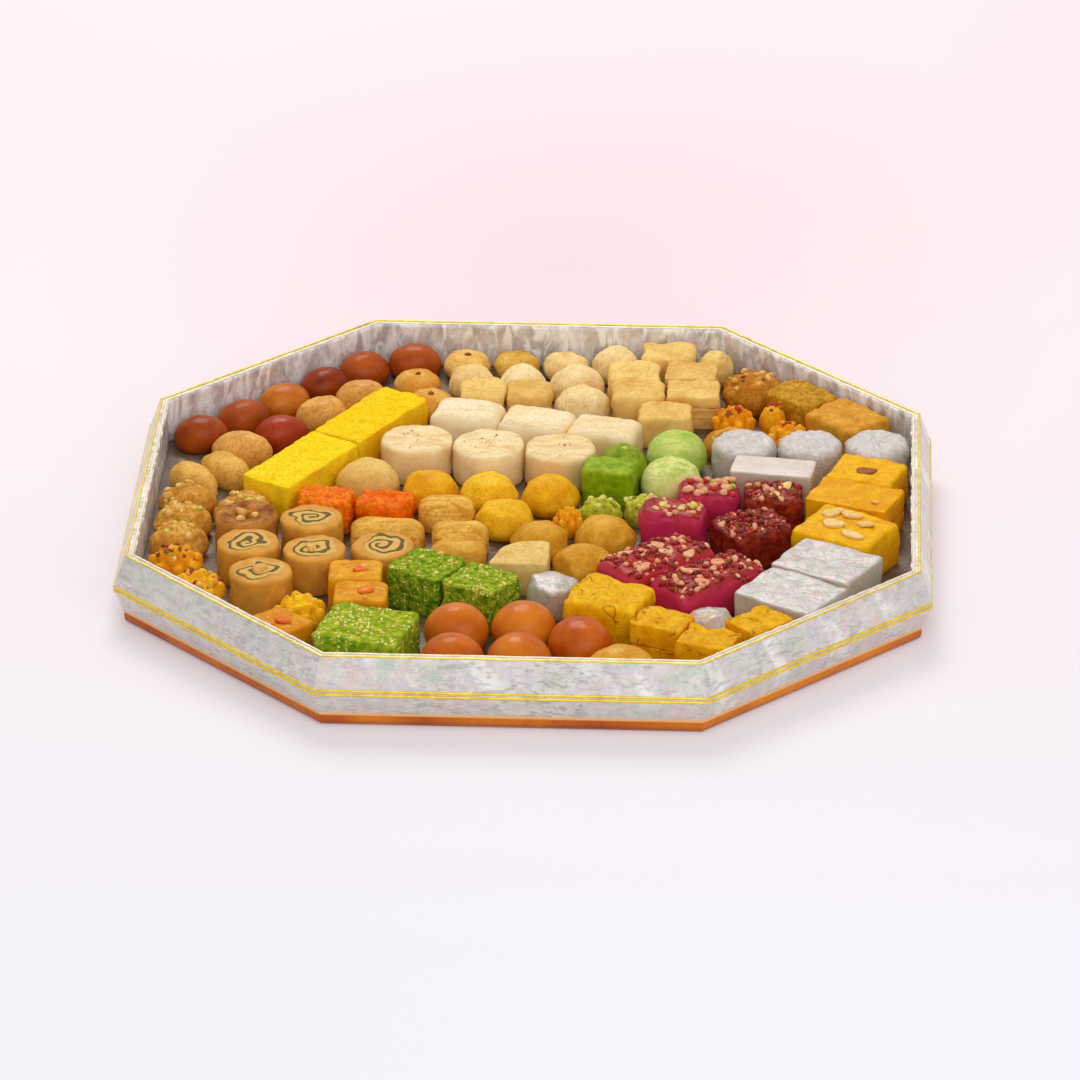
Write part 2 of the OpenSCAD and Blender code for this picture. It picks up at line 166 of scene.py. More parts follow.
# From 0 to 1 between two levels that are sockets themselves
def between(tree, value, low, high):
    rise = maths(tree, "SUBTRACT", value, low)
    return maths(tree, "DIVIDE", rise, maths(tree, "SUBTRACT", high, low), clamp=True)


def spread(tree, value, low, high, toLow=0.0, toHigh=1.0):
    node = add(tree, "ShaderNodeMapRange")
    for index, part in enumerate((value, low, high, toLow, toHigh)):
        put(tree, part, node.inputs[index])
    return node.outputs[0]


# The separate numbers of a vector or, with "Color", of a colour
def parts(tree, value, kind="XYZ"):
    node = add(tree, "ShaderNodeSeparate" + kind)
    feed(tree, value, node.inputs[0])
    return node.outputs


def objectSpot(tree):
    return add(tree, "ShaderNodeTexCoord").outputs["Object"]


# A noise or a cell pattern: capitalised values go to its sockets, the others to the node itself
def texture(tree, kind, spot, scale, **own):
    node = add(tree, "ShaderNodeTex" + kind)
    for key, value in dict(own, Vector=spot, Scale=scale).items():
        if key[0].isupper():
            put(tree, value, node.inputs[key])
        else:
            setattr(node, key, value)
    return node


def place(tree, stretch):
    mapping = add(tree, "ShaderNodeMapping")
    mapping.inputs["Scale"].default_value = stretch
    feed(tree, objectSpot(tree), mapping.inputs["Vector"])
    return mapping.outputs["Vector"]


# Coordinates pulled about by a noise, for cells with bent edges, and that noise
def bend(tree, size, detail, finer, reach):
    spot = objectSpot(tree)
    scale = maths(tree, "DIVIDE", 1.0, size)
    warp = texture(tree, "Noise", spot, maths(tree, "MULTIPLY", scale, finer), Detail=detail)
    pull = add(tree, "ShaderNodeVectorMath", operation="SCALE")
    feed(tree, warp.outputs["Color"], pull.inputs[0])
    feed(tree, maths(tree, "MULTIPLY", size, reach), pull.inputs["Scale"])
    bent = add(tree, "ShaderNodeVectorMath", operation="ADD")
    feed(tree, spot, bent.inputs[0])
    feed(tree, pull.outputs[0], bent.inputs[1])
    return bent.outputs[0], warp.outputs["Fac"]


def makeBlotches():
    tree, start, end = newGroup(
        "blotches",
        [("Size", "NodeSocketFloat", 0.01), ("Softness", "NodeSocketFloat", 0.3)],
        [("Mask", "NodeSocketFloat")],
    )
    scale = maths(tree, "DIVIDE", 1.0, start.outputs["Size"])
    pattern = texture(tree, "Noise", objectSpot(tree), scale, Detail=5.0, Roughness=0.6)
    low = maths(tree, "SUBTRACT", 0.5, maths(tree, "MULTIPLY", start.outputs["Softness"], 0.5))
    level = maths(tree, "SUBTRACT", pattern.outputs["Fac"], low)
    feed(tree, maths(tree, "DIVIDE", level, start.outputs["Softness"], clamp=True), end.inputs["Mask"])
    return tree


def makeGrain():
    tree, start, end = newGroup(
        "grain",
        [("Size", "NodeSocketFloat", 0.001), ("Coarse", "NodeSocketFloat", 0.5)],
        [("Height", "NodeSocketFloat")],
    )
    spot = objectSpot(tree)
    scale = maths(tree, "DIVIDE", 1.0, start.outputs["Size"])
    fine = texture(tree, "Noise", spot, scale, Detail=4.0, Roughness=0.65)
    lumps = texture(tree, "Voronoi", spot, maths(tree, "MULTIPLY", scale, 0.5))
    crumb = maths(tree, "SUBTRACT", 1.0, lumps.outputs["Distance"])
    feed(tree, mixValue(tree, start.outputs["Coarse"], fine.outputs["Fac"], crumb), end.inputs["Height"])
    return tree


def makeFlecks():
    tree, start, end = newGroup(
        "flecks",
        [("Size", "NodeSocketFloat", 0.002), ("Share", "NodeSocketFloat", 0.2)],
        [("Mask", "NodeSocketFloat")],
    )
    cells = texture(tree, "Voronoi", objectSpot(tree), maths(tree, "DIVIDE", 1.0, start.outputs["Size"]))
    chance = parts(tree, cells.outputs["Color"], "Color")[0]
    chosen = maths(tree, "LESS_THAN", chance, start.outputs["Share"])
    near = spread(tree, cells.outputs["Distance"], 0.42, 0.3)
    feed(tree, maths(tree, "MULTIPLY", chosen, near), end.inputs["Mask"])
    return tree


# Thin dark cracks between crumbs
def makeCracks():
    tree, start, end = newGroup(
        "cracks",
        [("Size", "NodeSocketFloat", 0.008), ("Width", "NodeSocketFloat", 0.05),
         ("Share", "NodeSocketFloat", 0.5)],
        [("Mask", "NodeSocketFloat")],
    )
    size = start.outputs["Size"]
    bent, clouds = bend(tree, size, 3.0, 1.5, 0.8)
    cells = texture(tree, "Voronoi", bent, maths(tree, "DIVIDE", 1.0, size), feature="DISTANCE_TO_EDGE")
    away = maths(tree, "DIVIDE", cells.outputs["Distance"], start.outputs["Width"])
    line = maths(tree, "SUBTRACT", 1.0, away, clamp=True)
    room = maths(tree, "SUBTRACT", start.outputs["Share"], maths(tree, "SUBTRACT", clouds, 0.25))
    where = maths(tree, "DIVIDE", room, 0.1, clamp=True)
    feed(tree, maths(tree, "MULTIPLY", line, where), end.inputs["Mask"])
    return tree


# Tints of the film from one end of the ramp to the other
pearlTints = (
    (0.2, rgb(196, 232, 208)), (0.34, rgb(244, 246, 242)), (0.5, rgb(214, 210, 244)),
    (0.64, rgb(248, 247, 249)), (0.82, rgb(250, 214, 214)),
)


# Shiny film: soft clouds, and flat facets that each catch another tint
def makePearl():
    tree, start, end = newGroup(
        "pearl",
        [("Size", "NodeSocketFloat", 0.01), ("Ground", "NodeSocketColor", (0.7, 0.7, 0.72, 1.0)),
         ("Tint", "NodeSocketFloat", 0.5), ("Contrast", "NodeSocketFloat", 0.3),
         ("Facets", "NodeSocketFloat", 0.5)],
        [("Colour", "NodeSocketColor"), ("Height", "NodeSocketFloat")],
    )
    size = start.outputs["Size"]
    scale = maths(tree, "DIVIDE", 1.0, size)
    clouds = texture(tree, "Noise", objectSpot(tree), scale, Detail=6.0, Roughness=0.62, Distortion=1.2)
    bent = bend(tree, size, 2.0, 0.6, 1.6)[0]
    facets = texture(tree, "Voronoi", bent, maths(tree, "MULTIPLY", scale, 0.9), distance="CHEBYCHEV")
    crumbs = texture(tree, "Voronoi", bent, maths(tree, "MULTIPLY", scale, 3.4))
    large = parts(tree, facets.outputs["Color"], "Color")
    small = parts(tree, crumbs.outputs["Color"], "Color")
    hue = plus(tree, maths(tree, "MULTIPLY", large[1], 0.55), small[1], 0.45)
    ramp = add(tree, "ShaderNodeValToRGB")
    stops = ramp.color_ramp.elements
    stops[0].position = pearlTints[0][0]
    stops[1].position = pearlTints[-1][0]
    for tint in pearlTints[1:-1]:
        stops.new(tint[0])
    for stop, tint in zip(stops, pearlTints):
        stop.color = tint[1]
    feed(tree, hue, ramp.inputs[0])
    patchy = plus(tree, maths(tree, "MULTIPLY", large[0], 0.6), small[0], 0.4)
    cloudy = spread(tree, clouds.outputs["Fac"], 0.34, 0.64)
    uneven = mixValue(tree, start.outputs["Facets"], cloudy, patchy)
    low = maths(tree, "SUBTRACT", 1.0, start.outputs["Contrast"])
    shade = plus(tree, low, uneven, maths(tree, "MULTIPLY", start.outputs["Contrast"], 1.35))
    bright = mixColour(tree, 1.0, start.outputs["Ground"], shade, "MULTIPLY")
    tinted = mixColour(tree, start.outputs["Tint"], bright, ramp.outputs["Color"], "MULTIPLY")
    feed(tree, tinted, end.inputs["Colour"])
    feed(tree, uneven, end.inputs["Height"])
    return tree


# A line wound round the middle of a sweet, in the plan coordinates that its mesh carries
def makeSwirl():
    tree, start, end = newGroup(
        "swirl",
        [("Pitch", "NodeSocketFloat", 0.25), ("Width", "NodeSocketFloat", 0.2),
         ("Wobble", "NodeSocketFloat", 0.2), ("Reach", "NodeSocketFloat", 0.66)],
        [("Mask", "NodeSocketFloat"), ("Inside", "NodeSocketFloat")],
    )
    plan = parts(tree, add(tree, "ShaderNodeUVMap", uv_map="local").outputs["UV"])
    shake = texture(tree, "Noise", objectSpot(tree), 80.0, Detail=1.0)
    drift = parts(tree, shake.outputs["Color"], "Color")
    push = [maths(tree, "MULTIPLY", maths(tree, "SUBTRACT", drift[k], 0.5), start.outputs["Wobble"])
            for k in range(2)]
    across = maths(tree, "ADD", plan[0], push[0])
    along = maths(tree, "ADD", maths(tree, "MULTIPLY", plan[1], 1.18), push[1])
    square = maths(tree, "ADD", maths(tree, "MULTIPLY", across, across),
                   maths(tree, "MULTIPLY", along, along))
    radius = maths(tree, "SQRT", square)
    turn = maths(tree, "DIVIDE", maths(tree, "ARCTAN2", along, across), 2.0 * math.pi)
    rounds = maths(tree, "DIVIDE", radius, start.outputs["Pitch"])
    step = maths(tree, "FRACT", maths(tree, "SUBTRACT", rounds, turn))
    middle = maths(tree, "ABSOLUTE", maths(tree, "SUBTRACT", step, 0.5))
    apart = maths(tree, "SUBTRACT", middle, maths(tree, "MULTIPLY", start.outputs["Width"], 0.5))
    line = spread(tree, apart, 0.06, -0.02)
    inside = maths(tree, "DIVIDE", maths(tree, "SUBTRACT", start.outputs["Reach"], radius), 0.05,
                   clamp=True)
    feed(tree, maths(tree, "MULTIPLY", line, inside), end.inputs["Mask"])
    feed(tree, inside, end.inputs["Inside"])
    return tree


# Long streaks: noise drawn out along one direction
def makeStreaks():
    tree, start, end = newGroup(
        "streaks",
        [("Size", "NodeSocketFloat", 0.005), ("Stretch", "NodeSocketVector", (1.0, 1.0, 0.3)),
         ("Distortion", "NodeSocketFloat", 0.8), ("Low", "NodeSocketFloat", 0.5),
         ("High", "NodeSocketFloat", 0.6)],
        [("Mask", "NodeSocketFloat"), ("Height", "NodeSocketFloat")],
    )
    drawn = add(tree, "ShaderNodeVectorMath", operation="MULTIPLY")
    feed(tree, objectSpot(tree), drawn.inputs[0])
    feed(tree, start.outputs["Stretch"], drawn.inputs[1])
    scale = maths(tree, "DIVIDE", 1.0, start.outputs["Size"])
    pattern = texture(tree, "Noise", drawn.outputs[0], scale, Detail=5.0,
                      Distortion=start.outputs["Distortion"])
    mask = between(tree, pattern.outputs["Fac"], start.outputs["Low"], start.outputs["High"])
    feed(tree, mask, end.inputs["Mask"])
    feed(tree, pattern.outputs["Fac"], end.inputs["Height"])
    return tree


# Each sweet's own tone, which its mesh carries, added to the blotches
def makeTone():
    tree, start, end = newGroup(
        "sweetTone",
        [("Mask", "NodeSocketFloat", 0.5), ("Vary", "NodeSocketFloat", 0.7)],
        [("Mask", "NodeSocketFloat")],
    )
    carried = parts(tree, add(tree, "ShaderNodeUVMap", uv_map="tone").outputs["UV"])[0]
    lift = maths(tree, "MULTIPLY", maths(tree, "SUBTRACT", carried, 0.5), start.outputs["Vary"])
    feed(tree, maths(tree, "ADD", start.outputs["Mask"], lift, clamp=True), end.inputs["Mask"])
    return tree


# White on top, black on the cut sides
def makeCutTop():
    tree, start, end = newGroup(
        "cutTop",
        [("Low", "NodeSocketFloat", 0.55), ("High", "NodeSocketFloat", 0.9)],
        [("Mask", "NodeSocketFloat")],
    )
    upward = parts(tree, add(tree, "ShaderNodeNewGeometry").outputs["True Normal"])[2]
    feed(tree, between(tree, upward, start.outputs["Low"], start.outputs["High"]), end.inputs["Mask"])
    return tree


blotchGroup = makeBlotches()
grainGroup = makeGrain()
fleckGroup = makeFlecks()
pearlGroup = makePearl()
swirlGroup = makeSwirl()
crackGroup = makeCracks()
streakGroup = makeStreaks()
toneGroup = makeTone()
cutTopGroup = makeCutTop()


def newMaterial(name):
    material = bpy.data.materials.new(name)
    material.use_nodes = True
    tree = material.node_tree
    return material, tree, tree.nodes["Principled BSDF"]


def bump(tree, shader, height, strength, distance):
    node = add(tree, "ShaderNodeBump")
    node.inputs["Strength"].default_value = strength
    node.inputs["Distance"].default_value = distance
    feed(tree, height, node.inputs["Height"])
    feed(tree, node.outputs["Normal"], shader.inputs["Normal"])


sweetLook = {
    "patch": 0.009, "soft": 0.35, "vary": 0.7, "side": None,
    "grain": 0.0011, "coarse": 0.3, "depth": 0.0004, "strength": 0.5,
    "rough": 0.55, "roughSwing": 0.06, "gloss": 0.08, "coat": 0.0, "coatRough": 0.12,
    # the pit share and tone paint shade into the hollows of the grain
    "pits": 0.55, "pitShadeTone": 0.72, "pitEdge": 0.52, "pitFloor": 0.36,
    "fleck": None, "fleckSize": 0.0024, "fleckShare": 0.2,
    "crack": None, "crackSize": 0.009, "crackWidth": 0.06, "crackShare": 0.3, "crackDepth": 1.5,
    "streak": None, "streakSize": 0.003, "streakLow": 0.46, "streakHigh": 0.62, "stretch": (0.25, 1.0, 1.0),
}


# A sweet's own finish: two colours in soft blotches, a finer grain in its bump with painted shade in its
# pits, and where they are named streaks, a different cut side, flecks and cracks
def sweetFinish(name, dark, light, **own):
    look = dict(sweetLook, **own)
    material, tree, shader = newMaterial(name)
    patches = useGroup(tree, blotchGroup, Size=look["patch"], Softness=look["soft"])
    grain = useGroup(tree, grainGroup, Size=look["grain"], Coarse=look["coarse"])
    tone = useGroup(tree, toneGroup, Vary=look["vary"])
    feed(tree, patches.outputs["Mask"], tone.inputs["Mask"])
    mask = tone.outputs["Mask"]
    colour = mixColour(tree, mask, dark, light)
    height = grain.outputs["Height"]
    if look["streak"] is not None:
        streaks = useGroup(tree, streakGroup, Size=look["streakSize"], Stretch=look["stretch"],
                           Low=look["streakLow"], High=look["streakHigh"])
        colour = mixColour(tree, streaks.outputs["Mask"], colour, look["streak"])
        height = maths(tree, "SUBTRACT", height, streaks.outputs["Height"])
    # Painted shade: the low pits of the grain are darkened towards the dark colour
    pits = spread(tree, grain.outputs["Height"], look["pitEdge"], look["pitFloor"], 0.0, look["pits"])
    colour = mixColour(tree, pits, colour, darker(dark, look["pitShadeTone"]))
    if look["side"] is not None:
        top = useGroup(tree, cutTopGroup)
        colour = mixColour(tree, top.outputs["Mask"], mixColour(tree, mask, look["side"], light), colour)
    if look["fleck"] is not None:
        flecks = useGroup(tree, fleckGroup, Size=look["fleckSize"], Share=look["fleckShare"])
        colour = mixColour(tree, flecks.outputs["Mask"], colour, look["fleck"])
    if look["crack"] is not None:
        cracks = useGroup(tree, crackGroup, Size=look["crackSize"], Width=look["crackWidth"],
                          Share=look["crackShare"])
        colour = mixColour(tree, cracks.outputs["Mask"], colour, look["crack"])
        height = plus(tree, height, cracks.outputs["Mask"], -look["crackDepth"])
    feed(tree, colour, shader.inputs["Base Color"])
    rough = spread(tree, patches.outputs["Mask"], 0.0, 1.0, look["rough"] + look["roughSwing"],
                   look["rough"] - look["roughSwing"])
    feed(tree, rough, shader.inputs["Roughness"])
    shader.inputs["Coat Weight"].default_value = look["coat"]
    shader.inputs["Coat Roughness"].default_value = look["coatRough"]
    shader.inputs["Specular IOR Level"].default_value = look["gloss"]
    bump(tree, shader, height, look["strength"], look["depth"])
    return material


# Points at even distances along a closed line
def evenly(points, count):
    ring = np.array(points + [points[0]])
    steps = np.hypot(*(ring[1:] - ring[:-1]).T)
    along = np.concatenate([[0.0], np.cumsum(steps)])
    where = np.arange(count) * along[-1] / count
    return np.stack([np.interp(where, along, ring[:, 0]), np.interp(where, along, ring[:, 1])], axis=1)


def blockOutline(length, width, corner, count):
    points = []
    middles = ((1, 1, 0), (-1, 1, 90), (-1, -1, 180), (1, -1, 270))
    straights = (length - 2 * corner, width - 2 * corner)
    free = count - 4 * 5
    for index, (sx, sy, first) in enumerate(middles):
        for step in range(5):
            angle = math.radians(first + 22.5 * step)
            points.append((sx * (length / 2 - corner) + corner * math.cos(angle),
                           sy * (width / 2 - corner) + corner * math.sin(angle)))
        side = straights[index % 2]
        steps = max(2, round(free / 2 * side / sum(straights)))
        nextX, nextY, turn = middles[(index + 1) % 4]
        ahead = math.radians(turn)
        target = (nextX * (length / 2 - corner) + corner * math.cos(ahead),
                  nextY * (width / 2 - corner) + corner * math.sin(ahead))
        here = points[-1]
        for step in range(1, steps):
            share = step / steps
            points.append((here[0] + (target[0] - here[0]) * share,
                           here[1] + (target[1] - here[1]) * share))
    return np.array(points)


def ovalOutline(length, width, count):
    turn = np.arange(count) * 2 * math.pi / count
    return np.stack([length / 2 * np.cos(turn), width / 2 * np.sin(turn)], axis=1)


# Rings go from the foot to the top as (share of length, share of width, height), here with softened edges
def blockRings(length, width, height, edge, sides=5, tops=7):
    rings = []
    foot = edge * 0.5
    for step in range(3):
        angle = math.radians(45 * step)
        inset = foot * (1 - math.sin(angle))
        rings.append((1 - 2 * inset / length, 1 - 2 * inset / width, foot * (1 - math.cos(angle))))
    for step in range(1, sides + 1):
        rings.append((1.0, 1.0, foot + (height - edge - foot) * step / sides))
    for step in range(1, 5):
        angle = math.radians(22.5 * step)
        inset = edge * (1 - math.cos(angle))
        rings.append((1 - 2 * inset / length, 1 - 2 * inset / width,
                      height - edge + edge * math.sin(angle)))
    last = rings[-1]
    for step in range(1, tops):
        share = 1 - step / tops
        rings.append((last[0] * share, last[1] * share, height))
    return rings


# A bun draws in from its waist to its foot and is round above it
def bunRings(height, footShare, waistShare=0.4, steps=14, power=1.0):
    start = math.acos(footShare)
    rings = []
    for step in range(5):
        angle = -start + start * step / 5
        rings.append((math.cos(angle), math.cos(angle),
                      waistShare * height * (1 + math.sin(angle) / math.sin(start))))
    for step in range(steps):
        angle = math.pi / 2 * step / steps
        share = math.cos(angle) ** power
        rings.append((share, share, height * (waistShare + (1 - waistShare) * math.sin(angle))))
    return rings


def discRings(size, height, edge, tops=8):
    return blockRings(size, size, height, edge, 4, tops)


# Joins the rings over an outline to one closed skin, as points and faces
def skinOver(outline, rings):
    count = len(outline)
    points = [(0.0, 0.0, rings[0][2])]
    for shareX, shareY, level in rings:
        for x, y in outline:
            points.append((x * shareX, y * shareY, level))
    points.append((0.0, 0.0, rings[-1][2]))
    faces = []
    for k in range(count):
        faces.append((0, 1 + (k + 1) % count, 1 + k))
    for ring in range(len(rings) - 1):
        low = 1 + ring * count
        high = low + count
        for k in range(count):
            after = (k + 1) % count
            faces.append((low + k, low + after, high + after, high + k))
    low = 1 + (len(rings) - 1) * count
    top = len(points) - 1
    for k in range(count):
        faces.append((low + k, low + (k + 1) % count, top))
    return np.array(points), faces


rollSettings = {"rings": 26, "around": 36, "inset": 0.85, "tip": 0.3, "end": 0.42, "swell": 0.58}


# A lying roll: rounded ends, round back, flat foot
def rollSkin(length, width, height):
    radius = width / 2
    rings = rollSettings["rings"]
    count = rollSettings["around"]
    inset = radius * rollSettings["inset"]
    points = []
    for step in range(rings + 1):
        share = -math.cos(math.pi * step / rings)
        x = share * length / 2
        near = max(0.0, abs(x) - (length / 2 - inset)) / inset
        size = rollSettings["end"] + rollSettings["swell"] * math.sqrt(max(0.0, 1 - near * near))
        if step in (0, rings):
            size = rollSettings["tip"]
        for k in range(count):
            angle = 2 * math.pi * k / count
            y = radius * size * math.cos(angle)
            z = height - radius + radius * size * math.sin(angle)
            points.append((x, y, max(0.0, z)))
    faces = []
    for ring in range(rings):
        low = ring * count
        for k in range(count):
            after = (k + 1) % count
            faces.append((low + k, low + after, low + count + after, low + count + k))
    first = len(points)
    points.append((-length / 2, 0.0, height - radius))
    points.append((length / 2, 0.0, height - radius))
    low = rings * count
    for k in range(count):
        after = (k + 1) % count
        faces.append((first, after, k))
        faces.append((first + 1, low + k, low + after))
    return np.array(points), faces


def normalsOf(points, faces):
    total = np.zeros_like(points)
    quads = np.array([f for f in faces if len(f) == 4]).reshape(-1, 4)
    tris = np.array([f for f in faces if len(f) == 3]).reshape(-1, 3)
    if len(quads):
        cross = np.cross(points[quads[:, 2]] - points[quads[:, 0]],
                         points[quads[:, 3]] - points[quads[:, 1]])
        for column in range(4):
            np.add.at(total, quads[:, column], cross)
    if len(tris):
        cross = np.cross(points[tris[:, 1]] - points[tris[:, 0]], points[tris[:, 2]] - points[tris[:, 0]])
        for column in range(3):
            np.add.at(total, tris[:, column], cross)
    size = np.linalg.norm(total, axis=1)
    size[size == 0] = 1.0
    return total / size[:, None]


# foot is the share of the height over which the lumps grow from nothing
lumpSettings = {"layers": 3, "finer": 2.1, "weaker": 0.5, "foot": 0.16}


# Pushes the surface in and out by a lumpy pattern; the foot stays flat
def roughen(points, faces, size, depth, seed, bias):
    normals = normalsOf(points, faces)
    shift = Vector((seed * 3.17, seed * 1.93, seed * 2.41))
    tall = max(points[:, 2].max(), 1e-6)
    moved = points.copy()
    for index in range(len(points)):
        spot = Vector(points[index]) / size + shift
        value = 0.0
        gain = 1.0
        for layer in range(lumpSettings["layers"]):
            value += gain * noise.noise(spot)
            spot = spot * lumpSettings["finer"]
            gain *= lumpSettings["weaker"]
        keep = min(1.0, points[index, 2] / (lumpSettings["foot"] * tall))
        moved[index] += normals[index] * (value + bias) * depth * keep
    moved[:, 2] = np.maximum(moved[:, 2], 0.0)
    return moved


pressSettings = {"above": 0.55, "over": 0.3, "sharp": 1.6}


# Presses a soft hollow into the top
def pressIn(points, x, y, radius, depth):
    far = np.hypot(points[:, 0] - x, points[:, 1] - y) / radius
    tall = points[:, 2].max()
    upper = np.clip((points[:, 2] / tall - pressSettings["above"]) / pressSettings["over"], 0.0, 1.0)
    points[:, 2] -= depth * np.exp(-far ** 2 * pressSettings["sharp"]) * upper
    return points


weldSteps = 50000  # steps to a metre: corners closer than 0.02 mm are one


# Finds the separate solids of a CAD node and the plan rectangle of each
def sweetsOf(node):
    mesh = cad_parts[node].data
    spots = np.zeros(len(mesh.vertices) * 3)
    mesh.vertices.foreach_get("co", spots)
    spots = spots.reshape(-1, 3)
    keys, inverse = np.unique(np.round(spots * weldSteps).astype(int), axis=0, return_inverse=True)
    inverse = inverse.reshape(-1)
    parent = list(range(len(keys)))

    def rootOf(item):
        while parent[item] != item:
            parent[item] = parent[parent[item]]
            item = parent[item]
        return item

    for edge in mesh.edges:
        first = rootOf(inverse[edge.vertices[0]])
        second = rootOf(inverse[edge.vertices[1]])
        parent[first] = second
    islands = {}
    for item in range(len(keys)):
        islands.setdefault(rootOf(item), []).append(keys[item] / weldSteps)
    found = []
    for group in islands.values():
        cloud = np.array(group)
        leastArea = None
        for degree in range(90):
            turn = math.radians(degree)
            turned = cloud[:, 0] * math.cos(turn) + cloud[:, 1] * math.sin(turn)
            crossed = -cloud[:, 0] * math.sin(turn) + cloud[:, 1] * math.cos(turn)
            area = (turned.max() - turned.min()) * (crossed.max() - crossed.min())
            if leastArea is None or area < leastArea - 1e-9:
                leastArea = area
                angle = turn
                long = turned.max() - turned.min()
                wide = crossed.max() - crossed.min()
                middle = ((turned.max() + turned.min()) / 2, (crossed.max() + crossed.min()) / 2)
        centre = (middle[0] * math.cos(angle) - middle[1] * math.sin(angle),
                  middle[0] * math.sin(angle) + middle[1] * math.cos(angle))
        if wide > long + 1e-5:
            angle += math.pi / 2
            long, wide = wide, long
        if angle > math.pi / 2 + 0.01:
            angle -= math.pi
        found.append({"x": centre[0], "y": centre[1], "foot": cloud[:, 2].min(), "angle": angle,
                      "length": long, "width": wide, "height": cloud[:, 2].max() - cloud[:, 2].min()})
    found.sort(key=lambda one: (round(one["y"], 3), round(one["x"], 3)))
    return found


# Gathers the pieces of one node into one mesh, with a plan coordinate and a tone for each sweet
class Platter:
    def __init__(self, name):
        self.name = name
        self.points = []
        self.faces = []
        self.slots = []
        self.plan = []
        self.tones = []
        self.materials = []

    def slotOf(self, material):
        if material not in self.materials:
            self.materials.append(material)
        return self.materials.index(material)

    def lay(self, points, faces, material, spot, tone):
        first = sum(len(part) for part in self.points)
        turn = Matrix.Rotation(spot["angle"], 3, "Z")
        placed = points @ np.array(turn).T + np.array([spot["x"], spot["y"], spot["foot"]])
        self.points.append(placed)
        self.faces.extend(tuple(first + v for v in face) for face in faces)
        self.slots.extend([self.slotOf(material)] * len(faces))
        half = max(spot["length"], spot["width"]) / 2
        self.plan.append(points[:, :2] / half)
        self.tones.append(np.full((len(points), 2), tone))

    def finish(self, nodes, body, slot):
        mesh = bpy.data.meshes.new(self.name)
        mesh.from_pydata(np.concatenate(self.points).tolist(), [], self.faces)
        mesh.polygons.foreach_set("material_index", self.slots)
        mesh.polygons.foreach_set("use_smooth", [True] * len(self.faces))
        corners = np.zeros(len(mesh.loops), dtype=np.int32)
        mesh.loops.foreach_get("vertex_index", corners)
        for layerName, values in (("local", self.plan), ("tone", self.tones)):
            layer = mesh.uv_layers.new(name=layerName)
            layer.data.foreach_set("uv", np.concatenate(values)[corners].reshape(-1).astype(np.float32))
        for material in self.materials:
            mesh.materials.append(material)
        mesh.update()
        obj = bpy.data.objects.new(self.name, mesh)
        scene.collection.objects.link(obj)
        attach(obj, body)
        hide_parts(*nodes)
        return obj


# sink is the share of a bit's height that lies inside the sweet
bitSettings = {"steepest": 0.3, "margin": 0.1, "sink": 0.35}


# Drops small bits on top of a sweet: each lies on the surface under it
def dropBits(platter, points, faces, spot, bits, places):
    tree = BVHTree.FromPolygons([Vector(p) for p in points], faces)
    sink = bits.get("sink", bitSettings["sink"])
    for x, y, turn in places:
        hit, normal = tree.ray_cast(Vector((x, y, 1.0)), Vector((0.0, 0.0, -1.0)))[:2]
        if hit is None or normal.z < bitSettings["steepest"]:
            continue
        bit, bitFaces = bits["make"]()
        tall = bit[:, 2].max()
        tilt = Vector((0.0, 0.0, 1.0)).rotation_difference(normal).to_matrix()
        spin = Matrix.Rotation(turn, 3, "Z")
        move = np.array(tilt @ spin)
        placed = bit @ move.T + np.array(hit) - np.array(normal) * tall * sink
        platter.lay(placed, bitFaces, bits["finish"], spot, random.random())


nutSettings = {"uneven": 0.12, "turns": 6, "foot": 0.6, "waist": 0.35, "steps": 4}


# A chopped bit, of another size and outline at each call
def nutBit(length, width, height, around=10, least=0.7, most=1.2):
    def make():
        swell = random.uniform(least, most)
        outline = ovalOutline(length * swell, width * swell, around)
        wave = np.sin(2 * np.arange(around) + random.random() * nutSettings["turns"])
        outline = outline * (1 + nutSettings["uneven"] * wave[:, None])
        rings = bunRings(height * swell, nutSettings["foot"], nutSettings["waist"], nutSettings["steps"])
        return skinOver(outline, rings)
    return make


sliceSettings = {"around": 20, "taper": 0.28, "edge": 0.45, "curl": 0.12, "curlRate": 8}


# A flat slice, narrower at one end, its ends curled up a little
def almondSlice(length, width, height):
    def make():
        count = sliceSettings["around"]
        turn = np.arange(count) * 2 * math.pi / count
        taper = 1 - sliceSettings["taper"] * np.cos(turn)
        outline = np.stack([length / 2 * np.cos(turn), width / 2 * np.sin(turn) * taper], axis=1)
        rings = blockRings(length, width, height, height * sliceSettings["edge"], 1, 3)
        points, faces = skinOver(outline, rings)
        curl = sliceSettings["curl"] * height
        points[:, 2] += curl * (points[:, 0] / length) ** 2 * sliceSettings["curlRate"]
        return points, faces
    return make


# Places at random over a top, as (x, y, turn); an oval one drops those at its corners
def scatter(length, width, count, margin, oval):
    places = []
    for number in range(count):
        x = random.uniform(-0.5 + margin, 0.5 - margin) * length
        y = random.uniform(-0.5 + margin, 0.5 - margin) * width
        if oval and (2 * x / length) ** 2 + (2 * y / width) ** 2 > (1 - margin) ** 2:
            continue
        places.append((x, y, random.uniform(0, 2 * math.pi)))
    return places


print("frame and helpers ready")


# Round in section, lying on a flat foot
def ovalRings(width, height, steps=14):
    radius = width / 2
    middle = height - radius
    first = -math.asin(max(-1.0, min(1.0, middle / radius)))
    rings = []
    for step in range(6):
        angle = first - first * step / 6
        rings.append((math.cos(angle), math.cos(angle), middle + radius * math.sin(angle)))
    for step in range(steps):
        angle = math.pi / 2 * step / steps
        rings.append((math.cos(angle), math.cos(angle), middle + radius * math.sin(angle)))
    return rings


